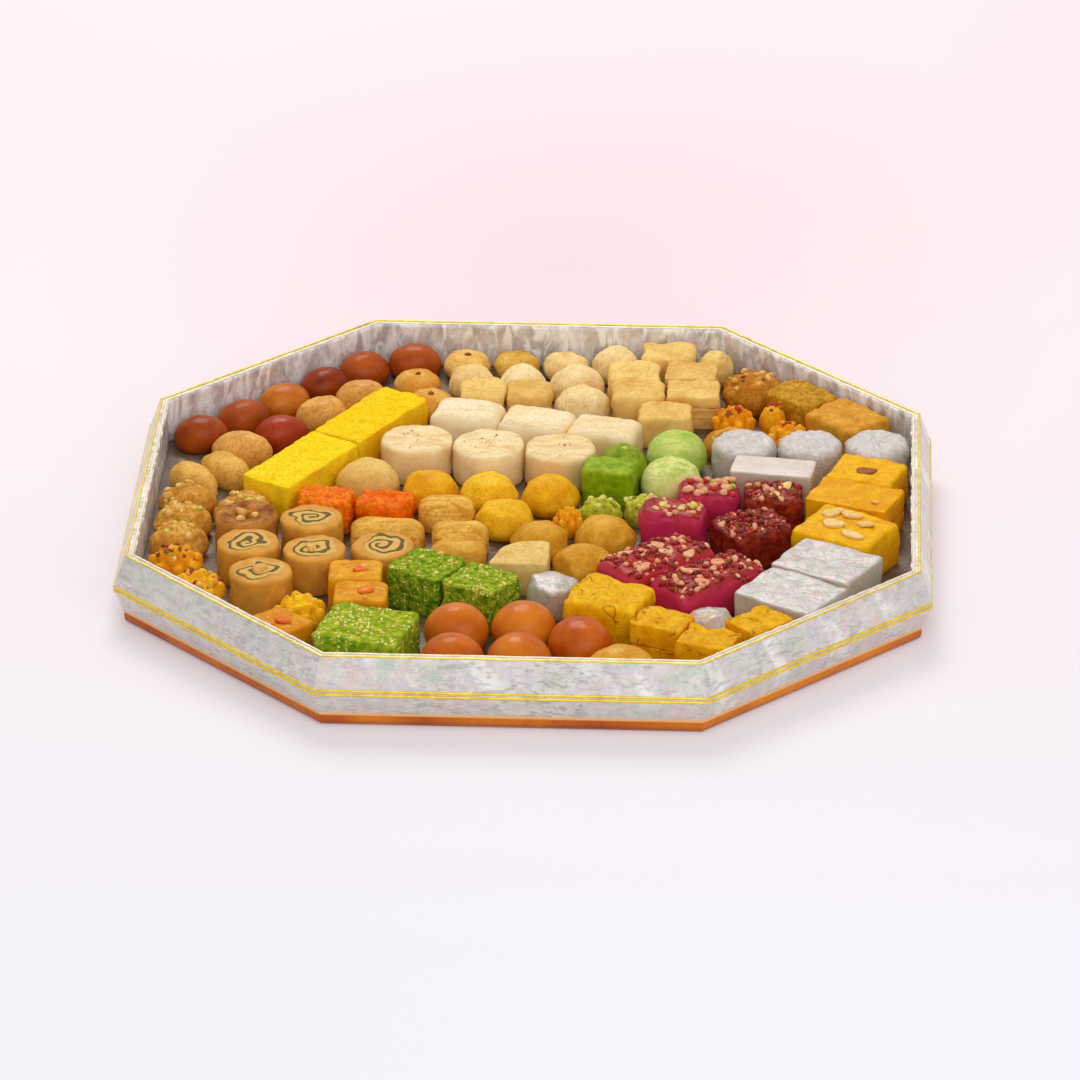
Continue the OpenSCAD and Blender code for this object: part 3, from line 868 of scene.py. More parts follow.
def wedgeOutline(length, width, corner):
    points = []
    for x, y in ((-0.5, -0.5), (0.5, -0.5), (0.5, 0.5), (0.0, 0.46), (-0.27, 0.24)):
        points.append((x * length, y * width))
    rounded = []
    for index, point in enumerate(points):
        before = Vector(points[index - 1]) - Vector(point)
        after = Vector(points[(index + 1) % len(points)]) - Vector(point)
        for step in range(5):
            share = step / 4
            near = Vector(point) + before.normalized() * corner * (1 - share) ** 2
            rounded.append(tuple(near + after.normalized() * corner * share ** 2))
    return evenly(rounded, 60)


# A rosette: a round foot, an outer ring of petals, an inner ring between them and a pressed middle
# Each row: share of the size, share of the height, depth of the petals, which way they stand
flowerRings = (
    (0.66, 0.0, 0.0, 1), (0.8, 0.08, 0.02, 1), (0.92, 0.2, 0.06, 1), (0.99, 0.34, 0.14, 1),
    (1.0, 0.44, 0.2, 1),
    (0.98, 0.52, 0.24, 1), (0.93, 0.58, 0.26, 1), (0.86, 0.61, 0.26, 1), (0.79, 0.61, 0.22, 1),
    (0.74, 0.59, 0.14, 1), (0.71, 0.59, 0.06, 1), (0.7, 0.64, 0.06, -1), (0.68, 0.7, 0.14, -1),
    (0.63, 0.76, 0.2, -1), (0.55, 0.79, 0.22, -1), (0.47, 0.79, 0.22, -1), (0.4, 0.76, 0.16, -1),
    (0.34, 0.73, 0.06, -1), (0.29, 0.74, 0.0, 1), (0.23, 0.8, 0.0, 1), (0.16, 0.85, 0.0, 1),
    (0.08, 0.87, 0.0, 1), (0.03, 0.87, 0.0, 1),
)


def flowerSkin(size, height, petals=7):
    outline = ovalOutline(size, size, 84)
    rings = [(share, share, level * height) for share, level, depth, way in flowerRings]
    points, faces = skinOver(outline, rings)
    count = len(outline)
    turn = np.arange(count) * 2 * math.pi / count
    for ring, (share, level, depth, way) in enumerate(flowerRings):
        first = 1 + ring * count
        lobe = np.abs(np.cos(petals * turn / 2)) if way > 0 else np.abs(np.sin(petals * turn / 2))
        points[first:first + count, :2] *= (1 - depth * (1 - lobe))[:, None]
        points[first:first + count, 2] -= 0.5 * depth * height * (1 - lobe) * (level > 0.4)
    return points, faces


pileSettings = {"edge": 0.0012, "cornerShare": 1.4, "room": 0.0006, "turn": 0.02, "slip": 0.0002}


# Sheets to lie on each other, each turned and slipped a little, with the level of each
def pileSkins(length, width, height, sheets):
    skins = []
    thick = height / sheets
    edge = pileSettings["edge"]
    room = pileSettings["room"]
    slip = pileSettings["slip"]
    for number in range(sheets):
        outline = blockOutline(length - room, width - room, edge * pileSettings["cornerShare"], 64)
        points, faces = skinOver(outline, blockRings(length, width, thick, edge, 2, 7))
        turn = random.uniform(-pileSettings["turn"], pileSettings["turn"])
        moved = points.copy()
        moved[:, 0] = points[:, 0] - turn * points[:, 1] + random.uniform(-slip, slip)
        moved[:, 1] = points[:, 1] + turn * points[:, 0] + random.uniform(-slip, slip)
        skins.append((moved, faces, number * thick))
    return skins


roundForms = ("oval", "bun", "disc", "lump", "flower")
outlinePoints = {"oval": 52, "bun": 52, "disc": 60, "lump": 64, "block": 72}


# One sweet of a given form, in its own place, its foot at zero
def sweetSkin(form, spot, look):
    length = spot["length"]
    width = spot["width"]
    height = spot["height"]
    edge = look["edge"]
    if form == "oval":
        return skinOver(ovalOutline(length, width, outlinePoints[form]), ovalRings(width, height))
    if form == "bun":
        rings = bunRings(height, look["foot"], power=look["flat"])
        return skinOver(ovalOutline(length, width, outlinePoints[form]), rings)
    if form == "disc":
        rings = discRings(width, height, edge, look["tops"])
        return skinOver(ovalOutline(length, width, outlinePoints[form]), rings)
    if form == "lump":
        count = outlinePoints[form]
        turn = np.arange(count) * 2 * math.pi / count
        side = math.pi / 4
        near = (turn + side / 2) % side - side / 2
        radius = width / 2 * math.cos(side / 2) / np.cos(near)
        outline = np.stack([radius * np.cos(turn + side / 2), radius * np.sin(turn + side / 2)], axis=1)
        return skinOver(outline, discRings(width, height, edge * 1.6, 9))
    if form == "wedge":
        return skinOver(wedgeOutline(length, width, 0.003), blockRings(length, width, height, edge, 5, 8))
    if form == "roll":
        return rollSkin(length, width, height)
    if form == "flower":
        return flowerSkin((length + width) / 2, height)
    outline = blockOutline(length, width, look["corner"], outlinePoints["block"])
    return skinOver(outline, blockRings(length, width, height, edge, 5, 9))


layLook = {
    "lumps": (0.012, 0.0004), "bias": -0.12, "edge": 0.0022, "corner": 0.003, "foot": 0.72, "flat": 1.0,
    "tops": 10,
}
seedSteps = {"first": 11.0, "sweet": 7.3, "level": 900}


# The sheets of a pile, or the one skin of any other form, each roughened and laid; returns the last one
def layBody(platter, look, spot, seed, tone):
    size, depth = look["lumps"]
    if look["form"] == "pile":
        skins = pileSkins(spot["length"], spot["width"], spot["height"], look["sheets"])
    else:
        points, faces = sweetSkin(look["form"], spot, look)
        if "shape" in look:
            points = look["shape"](points, spot, seed)
        skins = [(points, faces, 0.0)]
    for points, faces, level in skins:
        points = roughen(points, faces, size, depth, seed + level * seedSteps["level"], look["bias"])
        points[:, 2] += level
        platter.lay(points, faces, look["finish"], spot, tone)
    return points, faces


# Lays the sweets of one node; forms and finishes are named in order from the front of the tray to its back
def laySweets(sweet):
    node = sweet["node"]
    spots = sweetsOf(node)
    random.seed(node)
    platter = Platter(node + "_made")
    for index, spot in enumerate(spots):
        look = dict(layLook, **sweet)
        if "each" in sweet:
            look.update(sweet["each"][index])
        seed = seedSteps["first"] + seedSteps["sweet"] * index + len(node)
        tone = look.get("tone", random.random())
        points, faces = layBody(platter, look, spot, seed, tone)
        length = spot["length"]
        width = spot["width"]
        for bits in look.get("bits", ()):
            places = bits.get("at")
            if places is None:
                margin = bits.get("margin", bitSettings["margin"])
                places = scatter(length, width, bits["count"], margin, look["form"] in roundForms)
            else:
                places = [(x * length, y * width, turn) for x, y, turn in places]
            dropBits(platter, points, faces, spot, bits, places)
    obj = platter.finish([node], sweet["body"], sweet["slot"])
    print("laid", node, len(spots), "sweets,", len(obj.data.polygons), "faces")


def pressTop(x, y, radius, depth):
    def shape(points, spot, seed):
        return pressIn(points, x, y, radius, depth)
    return shape


facetSettings = {"planes": 22, "centre": 0.45, "least": 0.5, "flatten": 0.85}


# Cuts the round skin off along planes that lie round its middle
def faceted(depth):
    def shape(points, spot, seed):
        random.seed(int(seed))
        centre = np.array([0.0, 0.0, spot["height"] * facetSettings["centre"]])
        moved = points - centre
        for number in range(facetSettings["planes"]):
            turn = random.uniform(0, 2 * math.pi)
            rise = random.uniform(0.0, 1.0)
            flat = math.sqrt(1 - rise * rise)
            axis = np.array([flat * math.cos(turn), flat * math.sin(turn), rise])
            along = moved @ axis
            top = along.max() * (1 - depth * random.uniform(facetSettings["least"], 1.0))
            over = np.maximum(along - top, 0.0)
            moved -= over[:, None] * axis[None, :] * facetSettings["flatten"]
        return moved + centre
    return shape


# Finishes of the small bits
almondFinish = sweetFinish("almondBits", rgb(236, 190, 110), rgb(255, 232, 164), patch=0.003, grain=0.0006,
                           rough=0.5)
pinkAlmondFinish = sweetFinish("pinkAlmondBits", rgb(226, 150, 104), rgb(248, 198, 156), patch=0.003,
                               grain=0.0006, rough=0.5)
walnutFinish = sweetFinish("walnutBits", rgb(120, 62, 26), rgb(170, 104, 50), patch=0.002, grain=0.0005,
                           rough=0.5)
pistachioFinish = sweetFinish("pistachioBits", rgb(120, 128, 30), rgb(196, 196, 80), patch=0.002,
                              grain=0.0005, rough=0.5)
cherryFinish = sweetFinish("cherryBits", rgb(176, 20, 8), rgb(226, 60, 24), patch=0.002, grain=0.0005,
                           rough=0.32, coat=0.4)
darkCherryFinish = sweetFinish("darkCherryBits", rgb(112, 14, 12), rgb(170, 34, 24), patch=0.002,
                               grain=0.0005, rough=0.4, coat=0.3)
orangeFinish = sweetFinish("orangeDots", rgb(226, 92, 6), rgb(248, 134, 24), patch=0.003, grain=0.0005,
                           rough=0.4, coat=0.2)
fleckFinish = sweetFinish("paleFlecks", rgb(214, 204, 84), rgb(242, 232, 138), patch=0.002, grain=0.0005,
                          rough=0.55)
cashewFinish = sweetFinish("cashewBits", rgb(222, 164, 74), rgb(248, 206, 124), patch=0.004, grain=0.0007,
                           rough=0.45)

random.seed(7)

# Syrup balls and ovals at the back left
backJamun = {
    "node": "back_jamun", "body": "jamun_group", "slot": "jamun_brown", "form": "oval",
    "lumps": (0.014, 0.0005),
    "finish": sweetFinish("brownJamun", rgb(120, 34, 5), rgb(184, 86, 22), patch=0.016, soft=0.5,
                          grain=0.0008, rough=0.38, coat=0.14, depth=0.0001, pits=0.2),
}
goldenJamun = sweetFinish("goldenJamun", rgb(170, 72, 6), rgb(230, 146, 44), patch=0.014, soft=0.5,
                          grain=0.0008, rough=0.38, coat=0.14, depth=0.0001, pits=0.2)
backJamun["each"] = [{}, {"tone": 0.9}, {"finish": goldenJamun, "tone": 0.5}, {"tone": 0.1}, {},
                     {"tone": 1.0}]
laySweets(backJamun)
redJamun = {
    "node": "red_jamun", "body": "jamun_group", "slot": "jamun_red", "form": "oval",
    "lumps": (0.014, 0.0005),
    "finish": sweetFinish("redJamun", rgb(120, 26, 6), rgb(176, 62, 24), patch=0.014, soft=0.5,
                          grain=0.0008, rough=0.36, coat=0.16, depth=0.0001, pits=0.2),
}
laySweets(redJamun)
tanOval = {
    "node": "tan_ovals", "body": "tan_oval_group", "slot": "tan_oval", "form": "oval",
    "lumps": (0.011, 0.001),
    "finish": sweetFinish("tanOval", rgb(196, 118, 28), rgb(238, 178, 90), patch=0.012, soft=0.5,
                          grain=0.001, rough=0.5, coat=0.1, depth=0.0003),
}
laySweets(tanOval)
dimpledPeda = {
    "node": "dimpled_peda", "body": "tan_oval_group", "slot": "dimpled_peda", "form": "bun",
    "lumps": (0.009, 0.0009), "shape": pressTop(0.0, 0.0, 0.006, 0.0024),
    "finish": sweetFinish("dimpledPeda", rgb(222, 152, 54), rgb(248, 208, 118), patch=0.011, soft=0.45,
                          grain=0.0011, rough=0.55),
    "bits": [{"make": nutBit(0.0042, 0.003, 0.0024), "finish": walnutFinish, "at": [(0.02, 0.0, 0.4)]}],
}
laySweets(dimpledPeda)

# Yellow crumbly bars and cream bars
for barName in ("yellow_bar_front", "yellow_bar_back"):
    brightYellow = {
        "node": barName, "body": "yellow_bar_group", "slot": "bright_yellow", "form": "block",
        "edge": 0.0016, "corner": 0.0026, "lumps": (0.0045, 0.0011), "bias": -0.45,
        "finish": sweetFinish("brightYellow", rgb(252, 206, 6), rgb(255, 224, 30), patch=0.008,
                              grain=0.0011,
                              coarse=0.6, strength=0.8, depth=0.0007, rough=0.75, side=rgb(244, 186, 22)),
    }
    laySweets(brightYellow)
creamBar = {
    "node": "cream_bars", "body": "cream_bar_group", "slot": "cream_bar", "form": "block", "edge": 0.0066,
    "corner": 0.0045, "lumps": (0.012, 0.001),
    "finish": sweetFinish("creamBar", rgb(246, 217, 164), rgb(253, 236, 198), patch=0.016, soft=0.5,
                          grain=0.0012, rough=0.6, depth=0.0003, strength=0.35, side=rgb(234, 200, 140),
                          streak=rgb(240, 210, 156), streakSize=0.005, stretch=(0.2, 1.0, 1.0)),
}
laySweets(creamBar)
creamSlice = {
    "node": "cream_slices", "body": "cream_slice_group", "slot": "cream_slice", "form": "disc",
    "edge": 0.003, "lumps": (0.01, 0.001),
    "finish": sweetFinish("creamSlice", rgb(243, 212, 154), rgb(252, 232, 184), patch=0.012, soft=0.5,
                          grain=0.0012,
                          rough=0.6, depth=0.0004, side=rgb(234, 194, 130), streak=rgb(232, 196, 136),
                          streakSize=0.006, stretch=(0.35, 1.0, 1.0)),
    "bits": [{"make": nutBit(0.0026, 0.0009, 0.0007), "finish": walnutFinish, "count": 4, "margin": 0.24,
              "sink": 0.5},
             {"make": nutBit(0.002, 0.0009, 0.0007), "finish": cashewFinish, "count": 9, "margin": 0.2,
              "sink": 0.5}],
}
laySweets(creamSlice)
creamPeda = {
    "node": "cream_peda", "body": "yellow_peda_group", "slot": "cream_peda", "form": "oval",
    "lumps": (0.012, 0.0009),
    "finish": sweetFinish("creamPeda", rgb(234, 188, 96), rgb(250, 220, 146), patch=0.013, soft=0.5,
                          grain=0.001, rough=0.55, depth=0.0003),
}
laySweets(creamPeda)
yellowPeda = {
    "node": "yellow_peda", "body": "yellow_peda_group", "slot": "yellow_peda", "form": "bun",
    "lumps": (0.011, 0.0009), "foot": 0.76, "shape": faceted(0.1),
    "finish": sweetFinish("yellowPeda", rgb(228, 154, 4), rgb(250, 200, 38), patch=0.013, soft=0.5,
                          grain=0.001, rough=0.5, depth=0.0003),
}
laySweets(yellowPeda)
orangeCrumble = {
    "node": "orange_crumble", "body": "crumble_group", "slot": "orange_crumble", "form": "block",
    "edge": 0.005, "corner": 0.006, "lumps": (0.0065, 0.0026), "bias": -0.5,
    "finish": sweetFinish("orangeCrumble", rgb(238, 94, 0), rgb(255, 150, 8), patch=0.007, soft=0.4,
                          grain=0.0013,
                          coarse=0.7, strength=0.9, depth=0.0009, rough=0.5, coat=0.04, gloss=0.06),
}
laySweets(orangeCrumble)

# Tan rolls, peda and the wedge in the middle
tanRoll = {
    "node": "tan_rolls", "body": "roll_group", "slot": "tan_roll", "form": "roll", "lumps": (0.012, 0.0007),
    "finish": sweetFinish("tanRoll", rgb(212, 146, 38), rgb(248, 200, 92), patch=0.012, soft=0.45,
                          grain=0.001, rough=0.55, depth=0.0004, streak=rgb(212, 146, 42), streakSize=0.004,
                          stretch=(0.25, 1.0, 1.0)),
}
laySweets(tanRoll)
tanPeda = {
    "node": "tan_peda", "body": "tan_peda_group", "slot": "tan_peda", "form": "bun",
    "lumps": (0.012, 0.001), "foot": 0.78, "shape": faceted(0.1),
    "finish": sweetFinish("tanPeda", rgb(208, 142, 28), rgb(242, 190, 70), patch=0.012, soft=0.45,
                          grain=0.001, rough=0.52, depth=0.0003),
}
laySweets(tanPeda)
creamWedge = {
    "node": "cream_wedge", "body": "tan_peda_group", "slot": "cream_wedge", "form": "wedge", "edge": 0.0014,
    "lumps": (0.01, 0.0005),
    "finish": sweetFinish("creamWedge", rgb(214, 168, 80), rgb(238, 204, 126), patch=0.01, soft=0.45,
                          grain=0.001, rough=0.6, side=rgb(206, 154, 70)),
}
laySweets(creamWedge)


leafLook = {
    "size": 0.006, "tint": 0.5, "contrast": 0.2, "facets": 0.45, "metal": 0.25,
    "rough": 0.38, "roughBelow": 0.08, "roughAbove": 0.14, "strength": 0.5, "depth": 0.0004,
    "wearAndShade": 0.006, "wearAndShadeSoft": 0.16, "worn": 0.2, "sides": 0.4, "topLow": 0.3, "topHigh": 0.8,
    "grain": 0.0008, "coarse": 0.2, "grainShare": 0.25,
}


# Silver leaf lies in soft clouds over the sweet, thin enough to show it in places; on the floor foil those
# patches and its ground are painted shade
def leafFinish(name, ground, underAndShade, **own):
    look = dict(leafLook, **own)
    material, tree, shader = newMaterial(name)
    pearl = useGroup(tree, pearlGroup, Size=look["size"], Ground=ground, Tint=look["tint"],
                     Contrast=look["contrast"], Facets=look["facets"])
    wearAndShade = useGroup(tree, blotchGroup, Size=look["wearAndShade"], Softness=look["wearAndShadeSoft"])
    grain = useGroup(tree, grainGroup, Size=look["grain"], Coarse=look["coarse"])
    # Where the leaf is worn the sweet shows; on the floor foil these patches show painted shade
    shown = maths(tree, "MULTIPLY", maths(tree, "SUBTRACT", 1.0, wearAndShade.outputs["Mask"]), look["worn"])
    top = useGroup(tree, cutTopGroup, Low=look["topLow"], High=look["topHigh"])
    sideways = spread(tree, top.outputs["Mask"], 0.0, 1.0, look["sides"], 0.0)
    bare = maths(tree, "MAXIMUM", shown, sideways)
    feed(tree, mixColour(tree, bare, pearl.outputs["Colour"], underAndShade), shader.inputs["Base Color"])
    leaf = maths(tree, "SUBTRACT", 1.0, bare, clamp=True)
    feed(tree, maths(tree, "MULTIPLY", leaf, look["metal"]), shader.inputs["Metallic"])
    rough = spread(tree, pearl.outputs["Height"], 0.2, 0.8, look["rough"] - look["roughBelow"],
                   look["rough"] + look["roughAbove"])
    feed(tree, rough, shader.inputs["Roughness"])
    both = plus(tree, pearl.outputs["Height"], grain.outputs["Height"], look["grainShare"])
    bump(tree, shader, both, look["strength"], look["depth"])
    return material


silverLeaf = leafFinish("silverLeaf", rgb(214, 206, 198), rgb(196, 176, 140), size=0.006, tint=0.5,
                        contrast=0.26, facets=0.6, depth=0.0011, rough=0.32, sides=0.5)
silverLump = {
    "node": "silver_lump", "body": "tan_peda_group", "slot": "silver_leaf", "form": "lump", "edge": 0.0026,
    "lumps": (0.01, 0.0009), "shape": faceted(0.12), "finish": silverLeaf,
}
laySweets(silverLump)


pinwheelLook = {
    "pitch": 0.34, "width": 0.34, "wobble": 0.75, "reach": 0.76, "hollow": 0.7,
    "patch": 0.007, "soft": 0.4, "grain": 0.001, "coarse": 0.3, "duskShare": 0.7,
    "rough": 0.55, "gloss": 0.14, "strength": 0.5, "depth": 0.0004,
}


# Pinwheels: a tan roll cut across, with a dark line wound inside it
def pinwheelFinish(name, outer, inner, line):
    look = pinwheelLook
    material, tree, shader = newMaterial(name)
    swirl = useGroup(tree, swirlGroup, Pitch=look["pitch"], Width=look["width"], Wobble=look["wobble"],
                     Reach=look["reach"])
    patches = useGroup(tree, blotchGroup, Size=look["patch"], Softness=look["soft"])
    grain = useGroup(tree, grainGroup, Size=look["grain"], Coarse=look["coarse"])
    rind = mixColour(tree, patches.outputs["Mask"], darker(outer, look["duskShare"]), outer)
    face = mixColour(tree, swirl.outputs["Inside"], rind, inner)
    wound = mixColour(tree, swirl.outputs["Mask"], face, line)
    top = useGroup(tree, cutTopGroup)
    feed(tree, mixColour(tree, top.outputs["Mask"], rind, wound), shader.inputs["Base Color"])
    shader.inputs["Roughness"].default_value = look["rough"]
    shader.inputs["Specular IOR Level"].default_value = look["gloss"]
    hollow = plus(tree, grain.outputs["Height"], swirl.outputs["Mask"], -look["hollow"])
    bump(tree, shader, hollow, look["strength"], look["depth"])
    return material


pinwheel = {
    "node": "pinwheel_rolls", "body": "pinwheel_group", "slot": "pinwheel", "form": "disc", "edge": 0.0026,
    "tops": 14, "lumps": (0.011, 0.0009),
    "finish": pinwheelFinish("pinwheel", rgb(228, 160, 58), rgb(216, 174, 82), rgb(104, 76, 22)),
    "each": [
        {"bits": [{"make": nutBit(0.0115, 0.0095, 0.0045), "finish": cashewFinish,
                   "at": [(0.0, 0.03, 0.5)]}]},
        {"bits": [{"make": nutBit(0.009, 0.005, 0.002), "finish": cashewFinish,
                   "at": [(-0.05, 0.0, 1.2)]}]},
        {}, {}, {},
    ],
}
laySweets(pinwheel)
openRoll = {
    "node": "open_roll", "body": "pinwheel_group", "slot": "open_roll", "form": "disc", "edge": 0.0034,
    "lumps": (0.01, 0.0012), "shape": pressTop(0.0, 0.001, 0.008, 0.005),
    "finish": sweetFinish("openRoll", rgb(132, 62, 8), rgb(206, 138, 54), patch=0.009, soft=0.3,
                          grain=0.001, rough=0.5, side=rgb(190, 124, 50)),
    "bits": [{"make": nutBit(0.0085, 0.006, 0.0042), "finish": cashewFinish, "sink": 0.2,
              "at": [(-0.18, -0.2, 0.3), (0.12, -0.1, 1.9), (-0.02, 0.16, 2.6)]}],
}
laySweets(openRoll)

# Fingers, mounds and flowers along the left side
leftFinger = {
    "node": "left_fingers", "body": "mound_group", "slot": "tan_finger", "form": "oval",
    "lumps": (0.009, 0.0011),
    "finish": sweetFinish("tanFinger", rgb(204, 136, 42), rgb(238, 188, 92), patch=0.011, soft=0.4,
                          grain=0.001, rough=0.5, depth=0.0004),
}
laySweets(leftFinger)
leftMound = {
    "node": "left_mounds", "body": "mound_group", "slot": "tan_mound", "form": "oval",
    "lumps": (0.008, 0.0017),
    "finish": sweetFinish("tanMound", rgb(184, 112, 22), rgb(236, 180, 76), patch=0.009, soft=0.4,
                          grain=0.0012, rough=0.5, coarse=0.5, depth=0.0005),
    "bits": [{"make": nutBit(0.006, 0.0045, 0.003), "finish": cashewFinish, "count": 6, "margin": 0.16},
             {"make": nutBit(0.0035, 0.0025, 0.0018), "finish": fleckFinish, "count": 6, "margin": 0.14}],
}
laySweets(leftMound)
orangePetal = sweetFinish("orangePetal", rgb(234, 136, 6), rgb(255, 196, 34), patch=0.006, soft=0.4,
                          grain=0.0009, rough=0.5, depth=0.0004)
nutFlower = {
    "node": "nut_flowers", "body": "flower_group", "slot": "nut_flower", "form": "flower",
    "lumps": (0.007, 0.0008), "finish": orangePetal,
    "bits": [{"make": nutBit(0.0034, 0.0026, 0.002), "finish": walnutFinish, "count": 12, "margin": 0.1},
             {"make": nutBit(0.003, 0.002, 0.0016), "finish": pistachioFinish, "count": 7, "margin": 0.24},
             {"make": nutBit(0.003, 0.002, 0.0018), "finish": cherryFinish, "count": 4, "margin": 0.2},
             {"make": nutBit(0.004, 0.0028, 0.002), "finish": cashewFinish, "count": 8, "margin": 0.12}],
}
laySweets(nutFlower)
orangeFlower = {
    "node": "orange_flower", "body": "flower_group", "slot": "orange_flower", "form": "flower",
    "lumps": (0.007, 0.0009),
    "finish": sweetFinish("orangeFlower", rgb(242, 160, 2), rgb(255, 206, 26), patch=0.008, soft=0.4,
                          grain=0.0009, rough=0.5, depth=0.0003),
    "bits": [{"make": nutBit(0.003, 0.0022, 0.0016), "finish": cashewFinish, "count": 5, "margin": 0.3}],
}
laySweets(orangeFlower)
dotSquare = {
    "node": "red_dot_squares", "body": "flower_group", "slot": "dotted_square", "form": "block",
    "edge": 0.0022, "corner": 0.004, "lumps": (0.009, 0.0008),
    "finish": sweetFinish("dottedSquare", rgb(216, 132, 4), rgb(242, 184, 34), patch=0.008, soft=0.4,
                          grain=0.001, rough=0.52, side=rgb(218, 130, 14)),
    "bits": [{"make": nutBit(0.0088, 0.0078, 0.0024), "finish": orangeFinish, "at": [(0.08, 0.0, 0.2)]},
             {"make": nutBit(0.003, 0.002, 0.0015), "finish": cashewFinish, "count": 4}],
}
laySweets(dotSquare)

# Green squares and the front syrup balls
greenSquare = {
    "node": "green_squares", "body": "green_burfi_group", "slot": "rough_green", "form": "block",
    "edge": 0.002, "corner": 0.003, "lumps": (0.0046, 0.0018), "bias": -0.45,
    "finish": sweetFinish("roughGreen", rgb(106, 140, 2), rgb(212, 212, 54), patch=0.0036, soft=0.34,
                          grain=0.0013,
                          coarse=0.75, strength=1.0, depth=0.0011, rough=0.65, side=rgb(84, 136, 8),
                          fleck=rgb(222, 216, 120), fleckSize=0.002, fleckShare=0.26,
                          streak=rgb(160, 184, 24), streakSize=0.002, stretch=(0.5, 1.0, 1.0)),
    "bits": [{"make": nutBit(0.0034, 0.0022, 0.0014), "finish": fleckFinish, "count": 10, "margin": 0.06},
             {"make": nutBit(0.0032, 0.0022, 0.0014), "finish": cashewFinish, "count": 5, "margin": 0.06}],
}
laySweets(greenSquare)
greenSlab = {
    "node": "green_slab", "body": "green_burfi_group", "slot": "light_green", "form": "block",
    "edge": 0.0022, "corner": 0.004, "lumps": (0.006, 0.0014), "bias": -0.45,
    "finish": sweetFinish("lightGreen", rgb(124, 152, 2), rgb(226, 220, 62), patch=0.0042, soft=0.34,
                          grain=0.0013,
                          coarse=0.75, strength=1.0, depth=0.0011, rough=0.65, side=rgb(112, 156, 12),
                          fleck=rgb(236, 230, 152), fleckSize=0.0022, fleckShare=0.3,
                          streak=rgb(180, 194, 32), streakSize=0.0022, stretch=(0.5, 1.0, 1.0)),
    "bits": [{"make": nutBit(0.004, 0.0026, 0.0016), "finish": fleckFinish, "count": 16, "margin": 0.06},
             {"make": nutBit(0.0034, 0.0022, 0.0014), "finish": cashewFinish, "count": 5, "margin": 0.06}],
}
laySweets(greenSlab)
frontJamun = {
    "node": "front_jamun", "body": "front_jamun_group", "slot": "jamun_sienna", "form": "bun", "foot": 0.7,
    "lumps": (0.018, 0.0006),
    "finish": sweetFinish("siennaJamun", rgb(180, 72, 4), rgb(224, 130, 26), patch=0.018, soft=0.6,
                          grain=0.0007, rough=0.38, coat=0.14, depth=0.0001, strength=0.3, pits=0.15),
}
laySweets(frontJamun)
honeyPeda = {
    "node": "honey_peda", "body": "front_jamun_group", "slot": "honey_peda", "form": "bun", "foot": 0.8,
    "lumps": (0.013, 0.0006),
    "finish": sweetFinish("honeyPeda", rgb(214, 146, 34), rgb(244, 190, 80), patch=0.013, soft=0.5,
                          grain=0.0009, rough=0.45, coat=0.1, depth=0.0003),
}
laySweets(honeyPeda)

# Yellow burfi and the silver-leaf slabs
yellowBurfiFinish = sweetFinish("yellowBurfi", rgb(226, 160, 0), rgb(250, 200, 14), patch=0.01, soft=0.35,
                                grain=0.0012, coarse=0.45, strength=0.7, depth=0.0006, rough=0.55,
                                side=rgb(226, 150, 2), crack=rgb(190, 112, 2), crackSize=0.014,
                                crackWidth=0.035, crackShare=0.26)
yellowBurfi = {
    "node": "yellow_burfi", "body": "yellow_burfi_group", "slot": "yellow_burfi", "form": "block",
    "edge": 0.003, "corner": 0.004, "lumps": (0.012, 0.0024), "finish": yellowBurfiFinish,
}
laySweets(yellowBurfi)
thinBurfi = {
    "node": "thin_burfi", "body": "yellow_burfi_group", "slot": "thin_burfi", "form": "pile", "sheets": 2,
    "lumps": (0.008, 0.0017), "finish": yellowBurfiFinish,
}
laySweets(thinBurfi)
silverSlab = {
    "node": "silver_slabs", "body": "silver_slab_group", "slot": "silver_leaf", "form": "block",
    "edge": 0.0016, "corner": 0.0026, "lumps": (0.012, 0.001), "finish": silverLeaf, "each": [
        {"form": "bun", "lumps": (0.007, 0.0014),
         "finish": leafFinish("greyLump", rgb(210, 202, 190), rgb(198, 158, 112), size=0.004, tint=0.8,
                              worn=0.6, contrast=0.3)},
        {}, {},
    ],
}
laySweets(silverSlab)

# Magenta bars with chopped nuts
magentaFinish = sweetFinish("magentaBar", rgb(130, 20, 22), rgb(184, 48, 48), patch=0.012, soft=0.5,
                            grain=0.001, rough=0.42, coat=0.15, depth=0.0003, side=rgb(204, 40, 98))
choppedNuts = [
    {"make": nutBit(0.004, 0.0028, 0.0022, 8, 0.6, 1.5), "finish": darkCherryFinish, "count": 60,
     "margin": 0.05},
    {"make": nutBit(0.0034, 0.0024, 0.002, 8, 0.6, 1.4), "finish": cherryFinish, "count": 22,
     "margin": 0.05},
    {"make": nutBit(0.0034, 0.0022, 0.002, 8, 0.6, 1.4), "finish": walnutFinish, "count": 26,
     "margin": 0.05},
    {"make": nutBit(0.0036, 0.0024, 0.002, 8, 0.6, 1.5), "finish": pinkAlmondFinish, "count": 44,
     "margin": 0.05},
    {"make": almondSlice(0.009, 0.0058, 0.0014), "finish": pinkAlmondFinish, "count": 5, "margin": 0.14,
     "sink": 0.02},
]
magentaBar = {
    "node": "magenta_bars", "body": "magenta_group", "slot": "magenta_bar", "form": "block", "edge": 0.0078,
    "corner": 0.0062, "lumps": (0.009, 0.0014), "finish": magentaFinish, "bits": choppedNuts,
}
laySweets(magentaBar)
